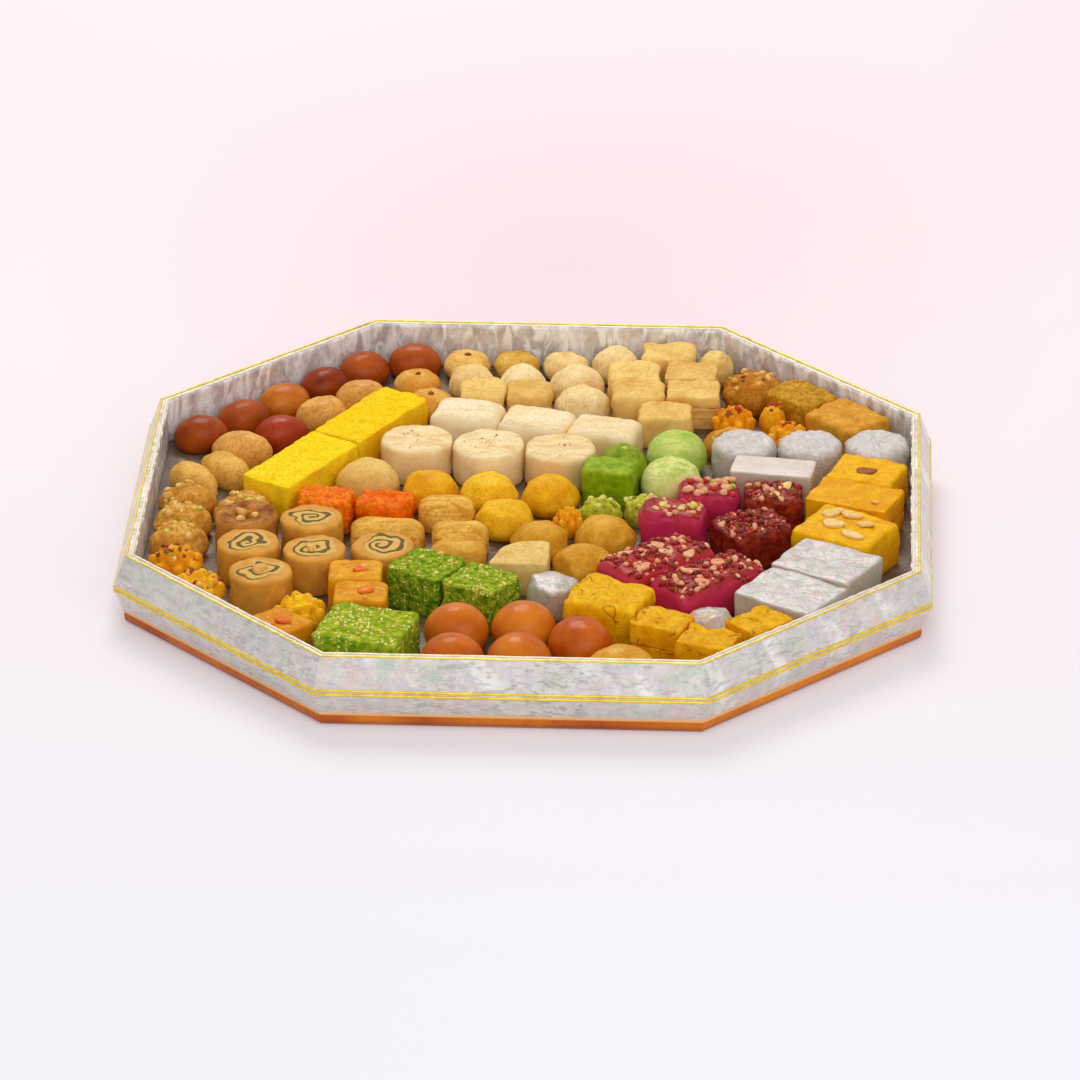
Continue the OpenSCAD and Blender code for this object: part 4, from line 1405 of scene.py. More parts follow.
magentaWedge = {
    "node": "magenta_wedges", "body": "magenta_group", "slot": "magenta_wedge", "form": "block",
    "edge": 0.0066, "corner": 0.006, "lumps": (0.009, 0.0016), "finish": magentaFinish, "each": [
        {"bits": [{"make": nutBit(0.0062, 0.0046, 0.0028), "finish": fleckFinish, "count": 3,
                   "margin": 0.2},
                  {"make": nutBit(0.004, 0.003, 0.0022), "finish": pinkAlmondFinish, "count": 20,
                   "margin": 0.08},
                  {"make": nutBit(0.0036, 0.0026, 0.002), "finish": cherryFinish, "count": 10,
                   "margin": 0.08}]},
        {"bits": [{"make": nutBit(0.0056, 0.0044, 0.003), "finish": pinkAlmondFinish, "count": 18,
                   "margin": 0.1},
                  {"make": nutBit(0.005, 0.004, 0.0028), "finish": cherryFinish, "count": 7, "margin": 0.1},
                  {"make": nutBit(0.005, 0.004, 0.0026), "finish": pistachioFinish, "count": 4,
                   "margin": 0.12}]},
    ],
}
laySweets(magentaWedge)
redNut = {
    "node": "red_nut_slabs", "body": "magenta_group", "slot": "red_nut", "form": "block", "edge": 0.0044,
    "corner": 0.005, "lumps": (0.006, 0.0022), "bias": -0.5,
    "finish": sweetFinish("redNut", rgb(116, 22, 10), rgb(182, 62, 32), patch=0.005, soft=0.35,
                          grain=0.0012, coarse=0.5, rough=0.4, coat=0.2, depth=0.0006),
    "each": [
        {"bits": choppedNuts[:3] + [dict(choppedNuts[3], count=22)]},
        {"bits": [{"make": nutBit(0.004, 0.003, 0.0024), "finish": walnutFinish, "count": 22,
                   "margin": 0.06},
                  {"make": nutBit(0.004, 0.003, 0.0022), "finish": darkCherryFinish, "count": 22,
                   "margin": 0.06},
                  {"make": nutBit(0.0048, 0.0034, 0.0024), "finish": pinkAlmondFinish, "count": 12,
                   "margin": 0.06},
                  {"make": almondSlice(0.011, 0.006, 0.0016), "finish": almondFinish, "count": 2,
                   "margin": 0.2, "sink": 0.1}]},
    ],
}
laySweets(redNut)

# Saffron squares by the right side
saffronFinish = sweetFinish("saffronBurfi", rgb(230, 158, 0), rgb(252, 200, 8), patch=0.01, soft=0.4,
                            grain=0.0012, rough=0.5, depth=0.0004, side=rgb(226, 146, 2))
dimpleBurfi = {
    "node": "dimple_burfi", "body": "saffron_group", "slot": "saffron", "form": "block", "edge": 0.0026,
    "corner": 0.0036, "lumps": (0.009, 0.0012), "finish": saffronFinish,
    "shape": pressTop(0.0, 0.0, 0.007, 0.0026),
    "bits": [{"make": almondSlice(0.0125, 0.0105, 0.003), "finish": walnutFinish,
              "at": [(0.0, 0.0, 0.35)]}],
}
laySweets(dimpleBurfi)
saffronBlock = {
    "node": "yellow_block", "body": "saffron_group", "slot": "saffron_block", "form": "pile", "sheets": 2,
    "lumps": (0.01, 0.0013), "finish": saffronFinish,
    "bits": [{"make": nutBit(0.006, 0.004, 0.0016), "finish": cashewFinish, "at": [(0.3, -0.2, 0.4)]}],
}
laySweets(saffronBlock)
almondBlock = {
    "node": "almond_block", "body": "saffron_group", "slot": "almond_saffron", "form": "block",
    "edge": 0.0024, "corner": 0.0034, "lumps": (0.01, 0.0012), "finish": saffronFinish,
    "bits": [{"make": almondSlice(0.0128, 0.0082, 0.0017), "finish": almondFinish, "sink": 0.08,
              "at": [(-0.28, 0.22, 0.9), (-0.06, 0.3, 0.2), (-0.12, -0.06, 0.3), (0.2, 0.16, -0.3),
                     (0.2, -0.22, 0.1)]}],
}
laySweets(almondBlock)

# Silver discs, the pale slab and the green group
silverDisc = {
    "node": "silver_discs", "body": "silver_disc_group", "slot": "silver_disc", "form": "disc",
    "edge": 0.0055, "lumps": (0.0065, 0.0013),
    "finish": leafFinish("silverDisc", rgb(230, 221, 212), rgb(206, 192, 172), size=0.0026, sides=0.3,
                         contrast=0.4, tint=0.45, rough=0.36, depth=0.0014, worn=0.3),
}
laySweets(silverDisc)
paleSlab = {
    "node": "pale_slab", "body": "silver_disc_group", "slot": "silver_disc", "form": "block",
    "edge": 0.0014, "corner": 0.0024, "lumps": (0.014, 0.0005),
    "finish": leafFinish("paleSlab", rgb(222, 205, 193), rgb(190, 170, 126), worn=0.05, tint=0.2,
                         metal=0.08, contrast=0.08),
}
laySweets(paleSlab)


# Fine lines across the top, for the lime rounds
def ribbed(pitch, depth):
    def shape(points, spot, seed):
        points[:, 2] -= depth * (0.5 + 0.5 * np.sin(points[:, 1] / pitch * 2 * math.pi)) * (
            points[:, 2] > 0.5 * spot["height"])
        return points
    return shape


limeRound = {
    "node": "lime_rounds", "body": "lime_group", "slot": "lime_round", "form": "bun", "flat": 0.7,
    "lumps": (0.011, 0.0006), "shape": ribbed(0.003, 0.0009),
    "finish": sweetFinish("limeRound", rgb(186, 202, 86), rgb(236, 232, 150), patch=0.012, soft=0.5,
                          grain=0.0011,
                          rough=0.55, depth=0.0005, side=rgb(150, 190, 52), streak=rgb(168, 192, 72),
                          streakSize=0.0026, stretch=(0.22, 1.0, 1.0)),
}
laySweets(limeRound)
darkGreen = {
    "node": "dark_green_pair", "body": "lime_group", "slot": "dark_green", "form": "block", "edge": 0.0024,
    "corner": 0.003, "lumps": (0.007, 0.0009),
    "finish": sweetFinish("leafGreen", rgb(114, 150, 0), rgb(190, 202, 40), patch=0.007, soft=0.4,
                          grain=0.0011, rough=0.5, depth=0.0004),
    "each": [
        {},
        {"form": "bun", "shape": pressTop(0.0, 0.0, 0.004, 0.0012),
         "finish": sweetFinish("darkGreen", rgb(94, 124, 4), rgb(168, 180, 46), patch=0.009, soft=0.4,
                               rough=0.5),
         "bits": [{"make": nutBit(0.0042, 0.0036, 0.0022), "finish": fleckFinish,
                   "at": [(0.0, -0.06, 0.0)]}]},
    ],
}
laySweets(darkGreen)
pistachio = {
    "node": "pistachio_pieces", "body": "lime_group", "slot": "pistachio", "form": "oval",
    "lumps": (0.006, 0.0016),
    "finish": sweetFinish("pistachioCrumb", rgb(170, 172, 22), rgb(232, 226, 98), patch=0.005, soft=0.35,
                          grain=0.0012, coarse=0.6, rough=0.6, depth=0.0006),
    "bits": [{"make": nutBit(0.004, 0.003, 0.0022), "finish": fleckFinish, "count": 9, "margin": 0.08},
             {"make": nutBit(0.0034, 0.0026, 0.002), "finish": pistachioFinish, "count": 8,
              "margin": 0.08}],
    "each": [{"form": "flower", "lumps": (0.006, 0.0006), "bits": [], "finish": orangePetal}, {}, {}],
}
laySweets(pistachio)

# Nut clusters, orange flowers and slabs at the back right
nutCluster = {
    "node": "nut_clusters", "body": "nut_group", "slot": "nut_cluster", "form": "oval",
    "lumps": (0.008, 0.0012),
    "finish": sweetFinish("nutCluster", rgb(182, 108, 18), rgb(230, 170, 62), patch=0.008, soft=0.4,
                          grain=0.0012, coarse=0.5, rough=0.52, depth=0.0005),
    "each": [
        {},
        {"form": "block", "edge": 0.0034, "corner": 0.004,
         "finish": sweetFinish("orangeSlab", rgb(206, 134, 26), rgb(240, 182, 66), patch=0.009, soft=0.4,
                               rough=0.55)},
        {"form": "block", "edge": 0.003, "corner": 0.004,
         "finish": sweetFinish("oliveSlab", rgb(170, 112, 8), rgb(226, 170, 46), patch=0.007, soft=0.35,
                               coarse=0.6, strength=0.8, depth=0.0007, rough=0.6)},
        {"form": "bun", "lumps": (0.007, 0.0016),
         "bits": [{"make": nutBit(0.0044, 0.0032, 0.0024), "finish": cashewFinish, "count": 12,
                   "margin": 0.1},
                  {"make": nutBit(0.0036, 0.0028, 0.002), "finish": walnutFinish, "count": 8,
                   "margin": 0.1}]},
    ],
}
laySweets(nutCluster)
backFlower = {
    "node": "orange_flowers", "body": "nut_group", "slot": "back_flower", "form": "flower",
    "lumps": (0.006, 0.0009), "finish": orangePetal,
    "bits": [{"make": nutBit(0.003, 0.0022, 0.0018), "finish": walnutFinish, "count": 6, "margin": 0.3},
             {"make": nutBit(0.003, 0.0022, 0.0018), "finish": cherryFinish, "count": 3, "margin": 0.34}],
    "each": [
        {}, {}, {"form": "bun"},
        {"form": "bun", "bits": [], "lumps": (0.007, 0.0012),
         "finish": sweetFinish("cornerBit", rgb(226, 182, 90), rgb(250, 220, 138), patch=0.008)},
    ],
}
laySweets(backFlower)

# Cream and tan sweets along the back
backCream = sweetFinish("backCream", rgb(240, 200, 128), rgb(254, 232, 176), patch=0.011, soft=0.45,
                        grain=0.0011, rough=0.58, depth=0.0003)
backGold = sweetFinish("backGold", rgb(212, 156, 52), rgb(246, 206, 112), patch=0.01, soft=0.45,
                       grain=0.0011, rough=0.58, depth=0.0003)
backRound = {
    "node": "back_rounds", "body": "back_round_group", "slot": "back_round", "form": "bun",
    "lumps": (0.009, 0.0012), "finish": backCream,
    "each": [
        {"form": "oval"}, {}, {}, {"form": "oval"},
        {"shape": pressTop(0.0, 0.0, 0.0055, 0.003), "finish": backGold},
        {"shape": pressTop(0.0, 0.0, 0.0055, 0.003)}, {},
    ],
}
laySweets(backRound)
backSlab = {
    "node": "back_slabs", "body": "back_slab_group", "slot": "back_slab", "form": "block", "edge": 0.0034,
    "corner": 0.005, "lumps": (0.012, 0.002),
    "finish": sweetFinish("backSlab", rgb(222, 172, 84), rgb(248, 210, 126), patch=0.01, soft=0.45,
                          grain=0.0011, rough=0.58, depth=0.0003, side=rgb(222, 168, 82)),
    "each": [{}, {}, {}, {}, {"form": "pile", "sheets": 3}, {}, {"form": "pile", "sheets": 3}, {}],
}
laySweets(backSlab)
print("sweets laid")


trayForm = {"half": 0.219, "cornerShare": 0.47}  # straight sides are a little longer than slanting ones


# The tray's outline at a distance from its middle, as points along its eight sides
def traySide(half, side, share):
    slope = math.tan(math.radians(22.5))
    corner = trayForm["cornerShare"] * trayForm["half"] + (half - trayForm["half"]) * slope
    start, end = ((half, -corner), (half, corner)) if side % 2 == 0 else ((half, corner), (corner, half))
    x = start[0] + (end[0] - start[0]) * share
    y = start[1] + (end[1] - start[1]) * share
    turn = math.radians(90 * (side // 2))
    return (x * math.cos(turn) - y * math.sin(turn), x * math.sin(turn) + y * math.cos(turn))


# Sweeps a closed section of (distance, height) points round the tray; it changes along the way
def sweepTray(name, section, perSide, change):
    points = []
    for side in range(8):
        for step in range(perSide):
            share = step / perSide
            for index, (half, level) in enumerate(section):
                x, y = traySide(half, side, share)
                points.append(change(Vector((x, y, level)), side, share, index))
    count = len(section)
    total = 8 * perSide
    faces = []
    for ring in range(total):
        for k in range(count):
            low = ring * count
            high = ((ring + 1) % total) * count
            after = (k + 1) % count
            faces.append((low + k, high + k, high + after, low + after))
    mesh = bpy.data.meshes.new(name)
    mesh.from_pydata(points, [], faces)
    mesh.polygons.foreach_set("use_smooth", [True] * len(faces))
    mesh.update()
    obj = bpy.data.objects.new(name, mesh)
    scene.collection.objects.link(obj)
    return obj


# A round or oval section, for the gold lines
def around(middle, level, wide, tall, count=12):
    ring = []
    for k in range(count):
        angle = 2 * math.pi * k / count
        ring.append((middle + wide / 2 * math.cos(angle), level + tall / 2 * math.sin(angle)))
    return ring


def tiedTo(obj, node, body, slot, material):
    obj.data.materials.append(material)
    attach(obj, body)
    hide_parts(node)


metalLook = {
    "size": 0.005, "soft": 0.4, "grainShare": 0.2, "coarse": 0.2, "metal": 0.45,
    "rough": 0.36, "roughBelow": 0.08, "roughAbove": 0.1, "strength": 0.5, "depth": 0.0002,
}


def metalFinish(name, dark, light, **own):
    look = dict(metalLook, **own)
    material, tree, shader = newMaterial(name)
    patches = useGroup(tree, blotchGroup, Size=look["size"], Softness=look["soft"])
    grain = useGroup(tree, grainGroup, Size=look["size"] * look["grainShare"], Coarse=look["coarse"])
    feed(tree, mixColour(tree, patches.outputs["Mask"], dark, light), shader.inputs["Base Color"])
    shader.inputs["Metallic"].default_value = look["metal"]
    rough = spread(tree, grain.outputs["Height"], 0.3, 0.7, look["rough"] - look["roughBelow"],
                   look["rough"] + look["roughAbove"])
    feed(tree, rough, shader.inputs["Roughness"])
    bump(tree, shader, grain.outputs["Height"], look["strength"], look["depth"])
    return material


goldFinish = metalFinish("goldLine", rgb(226, 186, 40), rgb(255, 230, 70), size=0.006, metal=0.55,
                         rough=0.34)
edgeGold = metalFinish("edgeGold", rgb(210, 174, 60), rgb(248, 222, 98))
creamEdge = metalFinish("creamEdge", rgb(222, 206, 172), rgb(248, 240, 220), metal=0.15, rough=0.4)


def boxOf(node):
    low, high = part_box(node)
    return Vector(low), Vector(high)


beadLow, beadHigh = boxOf("gold_beads")
beadSettings = {"tall": 0.0016, "wide": 0.0017, "shake": 0.00012, "wave": 0.012, "perSide": 40}
beadMiddle = beadHigh.x - beadSettings["wide"] / 2


# Small bends in and out, and up and down, along a swept line
def shaky(amount, size):
    def change(spot, side, share, index):
        out = Vector((spot.x, spot.y, 0.0)).normalized()
        wave = noise.noise(Vector((spot.x, spot.y, 0.0)) / size)
        lift = noise.noise(Vector((spot.y, spot.x, 3.0)) / size)
        return spot + out * (wave - 0.6) * amount + Vector((0.0, 0.0, lift * amount))
    return change


beadRings = []
for level in (beadLow.z + beadSettings["tall"] / 2, beadHigh.z - beadSettings["tall"] / 2):
    ring = around(beadMiddle, level, beadSettings["wide"], beadSettings["tall"])
    change = shaky(beadSettings["shake"], beadSettings["wave"])
    beadRings.append(sweepTray("bead", ring, beadSettings["perSide"], change))
joined = bmesh.new()
for part in beadRings:
    joined.from_mesh(part.data)
goldBeads = beadRings[0]
joined.to_mesh(goldBeads.data)
joined.free()
goldBeads.name = "gold_beads_made"
bpy.data.objects.remove(beadRings[1])
tiedTo(goldBeads, "gold_beads", "tray", "gold_bead", goldFinish)

pipingSettings = {"wide": 0.0016, "tall": 0.0013, "shake": 0.0002, "perSide": 40}
for node, size, slot, finish in (("rim_piping", 0.009, "gold_piping", edgeGold),
                                 ("inner_piping", 0.007, "cream_piping", creamEdge)):
    high = boxOf(node)[1]
    ring = around(high.x - pipingSettings["wide"] / 2, high.z - pipingSettings["tall"] / 2,
                  pipingSettings["wide"], pipingSettings["tall"])
    piping = sweepTray(node + "_made", ring, pipingSettings["perSide"],
                       shaky(pipingSettings["shake"], size))
    tiedTo(piping, node, "tray", slot, finish)
print("gold lines swept")

# Foil lining: upright folds that open towards the rim
foilLow, foilHigh = boxOf("wall_foil")
foilSettings = {
    "rows": 12, "perSide": 96, "back": 0.00005, "front": 0.0004, "sideLength": 0.182,
    "fold": 0.0011, "lowFold": 0.00035, "openRate": 2.2, "openFrom": 1.2,
    "pitch": 0.0052, "rise": 0.8, "sharp": 2.2, "finePitch": 2.3, "fineRise": 2.5, "fineShare": 0.35,
    "leanPitch": 0.03, "lean": 0.004, "cornerRoom": 0.02, "cornerFold": 0.4,
}
foilBack = foilHigh.x - foilSettings["back"]
foilFront = foilHigh.x - foilSettings["front"]
foilSection = [(foilFront, foilLow.z + (foilHigh.z - foilLow.z) * k / foilSettings["rows"])
               for k in range(foilSettings["rows"] + 1)]
foilSection = foilSection + [(foilBack, foilHigh.z), (foilBack, foilLow.z)]


def folded(spot, side, share, index):
    look = foilSettings
    if index > look["rows"]:
        return spot
    rise = index / look["rows"]
    along = (side + share) * look["sideLength"]
    lean = noise.noise(Vector((along / look["leanPitch"], 5.0, 0.0))) * look["lean"] * rise
    wave = noise.noise(Vector(((along + lean) / look["pitch"], rise * look["rise"], 1.0)))
    finePlace = (along - lean) / look["pitch"] * look["finePitch"]
    fine = noise.noise(Vector((finePlace, rise * look["fineRise"], 7.0)))
    fold = 1.0 - abs(wave) * look["sharp"] + look["fineShare"] * fine
    opened = max(0.0, rise * look["openRate"] - look["openFrom"])
    depth = look["lowFold"] + (look["fold"] - look["lowFold"]) * opened
    corner = min(1.0, min(share, 1 - share) / look["cornerRoom"])
    out = Vector((spot.x, spot.y, 0.0)).normalized()
    return spot - out * max(0.0, fold) * depth * (look["cornerFold"] + (1 - look["cornerFold"]) * corner)


wallFoil = sweepTray("wall_foil_made", foilSection, foilSettings["perSide"], folded)


foilLook = {
    "pearl": {"Size": 0.007, "Ground": rgb(250, 246, 242), "Tint": 0.55, "Contrast": 0.16, "Facets": 0.5},
    "grey": {"Size": 0.011, "Stretch": (1.1, 1.1, 0.55), "Distortion": 0.7, "Low": 0.44, "High": 0.64},
    "warmReflection": {"Size": 0.02, "Stretch": (1.0, 1.0, 0.7), "Low": 0.42, "High": 0.62},
    "bright": {"Size": 0.0075, "Stretch": (1.0, 1.0, 0.4), "Distortion": 0.9, "Low": 0.46, "High": 0.58},
    # grey streaks are painted shade, warm ones a painted reflection of the sweets, bright ones painted
    # highlights
    "greyTone": rgb(158, 156, 168), "greyShadeShare": 0.6, "warmReflectionTone": rgb(192, 164, 126), "warmReflectionShare": 0.45,
    "highlightTone": rgb(255, 255, 255), "coat": 0.5, "coatRough": 0.16, "rough": (0.2, 0.4),
    "pearlShare": 0.4, "strength": 0.7, "depth": 0.0012,
}


# Crinkled foil: tinted clouds with upright streaks of painted shade (grey), painted reflection of the
# sweets (warm) and painted highlight (bright)
def foilFinish():
    look = foilLook
    material, tree, shader = newMaterial("crinkledFoil")
    pearl = useGroup(tree, pearlGroup, **look["pearl"])
    grey = useGroup(tree, streakGroup, **look["grey"])
    warmReflection = useGroup(tree, streakGroup, **look["warmReflection"])
    bright = useGroup(tree, streakGroup, **look["bright"])
    # Painted shade in the grey streaks, painted reflection of the sweets in the warm ones, painted
    # highlights in the bright ones
    greyShadeMask = maths(tree, "MULTIPLY", grey.outputs["Mask"], look["greyShadeShare"])
    warmReflectionMask = maths(tree, "MULTIPLY", warmReflection.outputs["Mask"], look["warmReflectionShare"])
    colour = mixColour(tree, greyShadeMask, pearl.outputs["Colour"], look["greyTone"])
    colour = mixColour(tree, warmReflectionMask, colour, look["warmReflectionTone"])
    colour = mixColour(tree, bright.outputs["Mask"], colour, look["highlightTone"])
    feed(tree, colour, shader.inputs["Base Color"])
    shader.inputs["Coat Weight"].default_value = look["coat"]
    shader.inputs["Coat Roughness"].default_value = look["coatRough"]
    feed(tree, spread(tree, pearl.outputs["Height"], 0.2, 0.8, *look["rough"]), shader.inputs["Roughness"])
    crease = plus(tree, bright.outputs["Height"], pearl.outputs["Height"], look["pearlShare"])
    bump(tree, shader, crease, look["strength"], look["depth"])
    return material


tiedTo(wallFoil, "wall_foil", "tray", "silver_foil", foilFinish())


def dress(node, material):
    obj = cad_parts[node]
    obj.data.materials.clear()
    obj.data.materials.append(material)


# Floor foil painted a dark warm grey-brown with darker brown patches: painted shade of the gaps between the
# sweets and painted reflection of them
floorFoilFinish = leafFinish("floorFoil", rgb(138, 122, 102), rgb(80, 54, 32), size=0.008, tint=0.3,
                             rough=0.4, metal=0.3, worn=0.4, depth=0.001, contrast=0.5)
dress("floor_foil", floorFoilFinish)


cardLook = {
    "dark": rgb(150, 120, 88), "light": rgb(182, 152, 116), "patch": 0.02, "soft": 0.6, "fibre": 0.0016,
    "coarse": 0.1, "rough": 0.85, "strength": 0.5, "depth": 0.0004,
}


# Board under the foil, plain card with fibres
def cardFinish():
    look = cardLook
    material, tree, shader = newMaterial("paddedBoard")
    patches = useGroup(tree, blotchGroup, Size=look["patch"], Softness=look["soft"])
    fibres = useGroup(tree, grainGroup, Size=look["fibre"], Coarse=look["coarse"])
    feed(tree, mixColour(tree, patches.outputs["Mask"], look["dark"], look["light"]),
         shader.inputs["Base Color"])
    shader.inputs["Roughness"].default_value = look["rough"]
    bump(tree, shader, fibres.outputs["Height"], look["strength"], look["depth"])
    return material


dress("floor_board", cardFinish())


bandLook = {
    "pearl": {"Size": 0.015, "Ground": rgb(241, 234, 225), "Tint": 0.44, "Contrast": 0.15, "Facets": 0.4},
    "glint": {"Size": 0.0035, "Ground": rgb(255, 255, 255), "Tint": 0.34, "Contrast": 0.2, "Facets": 0.7},
    "glintShare": 0.75,
    "slant": {"wave_type": "BANDS", "bands_direction": "DIAGONAL", "Distortion": 3.4, "Detail": 2.0,
              "Detail Scale": 1.6},
    "slantStretch": (1.0, 1.0, 0.45), "slantScale": 10.0, "slantEdges": (0.78, 0.9), "slantShare": 0.75,
    "shine": {"Size": 0.03, "Softness": 0.14}, "shineTone": rgb(252, 250, 246),
    "fine": {"Size": 0.0043, "Stretch": (0.4, 0.4, 1.4), "Distortion": 1.4, "Low": 0.51, "High": 0.62},
    "where": {"Size": 0.06, "Softness": 0.3}, "greyTone": rgb(150, 142, 134), "greyShares": (0.12, 0.6),
    "metal": 0.1, "rough": (0.26, 0.42), "coat": 0.25, "coatRough": 0.2,
    "fineShare": 0.4, "strength": 0.4, "depth": 0.0009,
}


# Pearly bands: creased shiny film with painted glints, pale slanting patches of painted highlight and fine
# grey streaks
def bandFinish():
    look = bandLook
    material, tree, shader = newMaterial("pearlBand")
    pearl = useGroup(tree, pearlGroup, **look["pearl"])
    # Painted glints: small facets that tint and brighten the film
    glint = useGroup(tree, pearlGroup, **look["glint"])
    colour = mixColour(tree, look["glintShare"], pearl.outputs["Colour"], glint.outputs["Colour"],
                       "MULTIPLY")
    # Painted highlights: pale slanting patches where the shine blotches meet the slanting bands
    slant = texture(tree, "Wave", place(tree, look["slantStretch"]), look["slantScale"], **look["slant"])
    shine = useGroup(tree, blotchGroup, **look["shine"])
    slanting = spread(tree, slant.outputs["Fac"], *look["slantEdges"], 0.0, look["slantShare"])
    light = maths(tree, "MULTIPLY", shine.outputs["Mask"], slanting)
    colour = mixColour(tree, light, colour, look["shineTone"])
    fine = useGroup(tree, streakGroup, **look["fine"])
    where = useGroup(tree, blotchGroup, **look["where"])
    share = spread(tree, where.outputs["Mask"], 0.0, 1.0, *look["greyShares"])
    colour = mixColour(tree, maths(tree, "MULTIPLY", fine.outputs["Mask"], share), colour, look["greyTone"])
    feed(tree, colour, shader.inputs["Base Color"])
    shader.inputs["Metallic"].default_value = look["metal"]
    feed(tree, spread(tree, pearl.outputs["Height"], 0.2, 0.8, *look["rough"]), shader.inputs["Roughness"])
    shader.inputs["Coat Weight"].default_value = look["coat"]
    shader.inputs["Coat Roughness"].default_value = look["coatRough"]
    crease = plus(tree, pearl.outputs["Height"], fine.outputs["Height"], look["fineShare"])
    bump(tree, shader, crease, look["strength"], look["depth"])
    return material


bandMaterial = bandFinish()
for wall in ("front", "front_right", "right", "back_right", "back", "back_left", "left", "front_left"):
    dress(wall + "_wall", bandMaterial)


baseLook = {
    "red": rgb(172, 64, 4), "amber": rgb(228, 134, 26), "patches": {"Size": 0.07, "Softness": 0.3},
    # the foot tone, its levels and its share paint shade that darkens the base towards the bottom
    "foot": rgb(132, 40, 4), "footShadeEdges": (0.0042, 0.0008), "footShare": 0.6,
    "line": rgb(246, 184, 116), "lineEdges": (0.0066, 0.0074),
    "grain": {"Size": 0.002, "Coarse": 0.2}, "rough": (0.22, 0.34), "gloss": 0.2, "coat": 0.25,
    "coatRough": 0.12, "strength": 0.2, "depth": 0.0002,
}


# Glossy base: red and amber clouds, painted shade darkening it towards its foot, a pale line along its top
def baseFinish():
    look = baseLook
    material, tree, shader = newMaterial("glossyBase")
    patches = useGroup(tree, blotchGroup, **look["patches"])
    grain = useGroup(tree, grainGroup, **look["grain"])
    level = parts(tree, objectSpot(tree))[2]
    colour = mixColour(tree, patches.outputs["Mask"], look["red"], look["amber"])
    # Painted shade: the colour darkens towards the foot of the base
    foot = spread(tree, level, *look["footShadeEdges"], 0.0, look["footShare"])
    colour = mixColour(tree, foot, colour, look["foot"])
    colour = mixColour(tree, spread(tree, level, *look["lineEdges"]), colour, look["line"])
    feed(tree, colour, shader.inputs["Base Color"])
    feed(tree, spread(tree, grain.outputs["Height"], 0.3, 0.7, *look["rough"]), shader.inputs["Roughness"])
    shader.inputs["Specular IOR Level"].default_value = look["gloss"]
    shader.inputs["Coat Weight"].default_value = look["coat"]
    shader.inputs["Coat Roughness"].default_value = look["coatRough"]
    bump(tree, shader, grain.outputs["Height"], look["strength"], look["depth"])
    return material


dress("base_plate", baseFinish())
print("tray dressed")


# Floor, world and lamps
stageSettings = {
    "size": 12.0,
    # tones that the lamps light: in front, behind, far behind, and a rosy patch behind the tray
    "front": (0.85, 0.89, 0.94, 1.0), "back": (0.903, 0.822, 0.834, 1.0), "top": (0.9, 0.755, 0.775, 1.0),
    "backFrom": -0.5, "backTo": 0.15, "topFrom": 0.28, "topTo": 0.62,
    "rosy": (0.846, 0.655, 0.685, 1.0), "rosyMiddle": (0.0, 0.42, 0.0), "rosyStretch": (1.4, 1.0, 1.0),
    "rosyReach": 0.46,
    # what the camera sees besides, and where the floor passes into the sky
    "glow": (1.0, 0.87, 0.93, 1.0), "shade": 0.7, "sky": rgb(252, 240, 245), "skyFrom": 0.85, "skyTo": 2.2,
}


def mixShaders(tree, factor, first, second):
    node = add(tree, "ShaderNodeMixShader")
    for index, source in enumerate((factor, first, second)):
        feed(tree, source, node.inputs[index])
    return node.outputs[0]


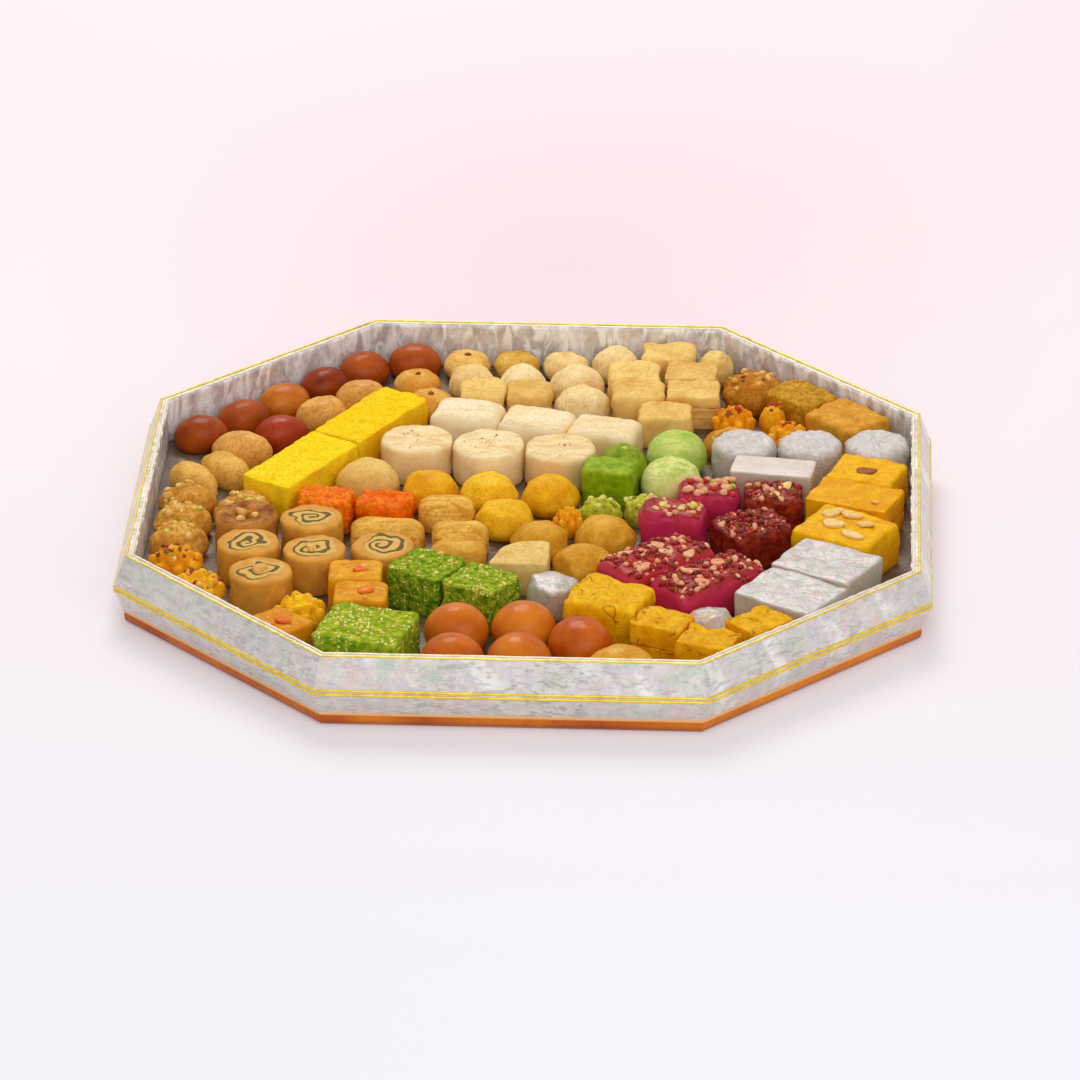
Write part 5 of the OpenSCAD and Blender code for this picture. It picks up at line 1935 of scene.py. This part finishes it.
def makeFloor():
    look = stageSettings
    mesh = bpy.data.meshes.new("floor")
    half = look["size"] / 2
    mesh.from_pydata([(-half, -half, 0), (half, -half, 0), (half, half, 0), (-half, half, 0)], [],
                     [(0, 1, 2, 3)])
    obj = bpy.data.objects.new("floor", mesh)
    scene.collection.objects.link(obj)
    material = bpy.data.materials.new("floorPaper")
    material.use_nodes = True
    tree = material.node_tree
    tree.nodes.clear()
    spot = objectSpot(tree)
    along = parts(tree, spot)[1]
    tone = mixColour(tree, spread(tree, along, look["backFrom"], look["backTo"]), look["front"],
                     look["back"])
    tone = mixColour(tree, spread(tree, along, look["topFrom"], look["topTo"]), tone, look["top"])
    apart = add(tree, "ShaderNodeVectorMath", operation="DISTANCE")
    feed(tree, place(tree, look["rosyStretch"]), apart.inputs[0])
    apart.inputs[1].default_value = look["rosyMiddle"]
    near = spread(tree, apart.outputs["Value"], look["rosyReach"], 0.0)
    tone = mixColour(tree, near, tone, look["rosy"])
    away = add(tree, "ShaderNodeVectorMath", operation="LENGTH")
    feed(tree, spot, away.inputs[0])
    plain = spread(tree, away.outputs["Value"], look["skyFrom"], look["skyTo"])
    matt = add(tree, "ShaderNodeBsdfDiffuse")
    feed(tree, tone, matt.inputs["Color"])
    glow = add(tree, "ShaderNodeEmission")
    feed(tree, mixColour(tree, plain, look["glow"], look["sky"]), glow.inputs["Color"])
    path = add(tree, "ShaderNodeLightPath")
    seen = maths(tree, "MAXIMUM", path.outputs["Is Camera Ray"], path.outputs["Is Glossy Ray"])
    lit = maths(tree, "MULTIPLY", look["shade"], maths(tree, "SUBTRACT", 1.0, plain))
    share = maths(tree, "MULTIPLY", seen, maths(tree, "SUBTRACT", 1.0, lit))
    out = add(tree, "ShaderNodeOutputMaterial")
    feed(tree, mixShaders(tree, share, matt.outputs[0], glow.outputs[0]), out.inputs["Surface"])
    mesh.materials.append(material)


makeFloor()


worldSettings = {  # tone and strength of what lights the scene, shines back from it and is seen
    "ambient": ((1.0, 0.985, 0.98, 1.0), 0.55),
    "mirror": (rgb(236, 232, 236), 0.95),
    "sky": (stageSettings["sky"], 1.0),
}


def makeWorld():
    world = bpy.data.worlds.new("studio")
    scene.world = world
    world.use_nodes = True
    tree = world.node_tree
    tree.nodes.clear()
    lights = {}
    for name, (tone, strength) in worldSettings.items():
        light = add(tree, "ShaderNodeBackground")
        light.inputs["Color"].default_value = tone
        light.inputs["Strength"].default_value = strength
        lights[name] = light.outputs[0]
    path = add(tree, "ShaderNodeLightPath")
    lighting = mixShaders(tree, path.outputs["Is Glossy Ray"], lights["ambient"], lights["mirror"])
    out = add(tree, "ShaderNodeOutputWorld")
    feed(tree, mixShaders(tree, path.outputs["Is Camera Ray"], lighting, lights["sky"]),
         out.inputs["Surface"])


makeWorld()
lampSettings = {
    "key": {"place": (-0.25, 1.25, 1.7), "size": 1.0, "power": 22.0},
    "fill": {"place": (0.5, -1.6, 1.3), "size": 1.6, "power": 14.0},
}
for lampName, values in lampSettings.items():
    data = bpy.data.lights.new(lampName, "AREA")
    data.size = values["size"]
    data.energy = values["power"]
    lamp = bpy.data.objects.new(lampName, data)
    lamp.location = values["place"]
    aim(lamp, (0.0, 0.0, 0.0))
    scene.collection.objects.link(lamp)
print("floor and lamps placed")
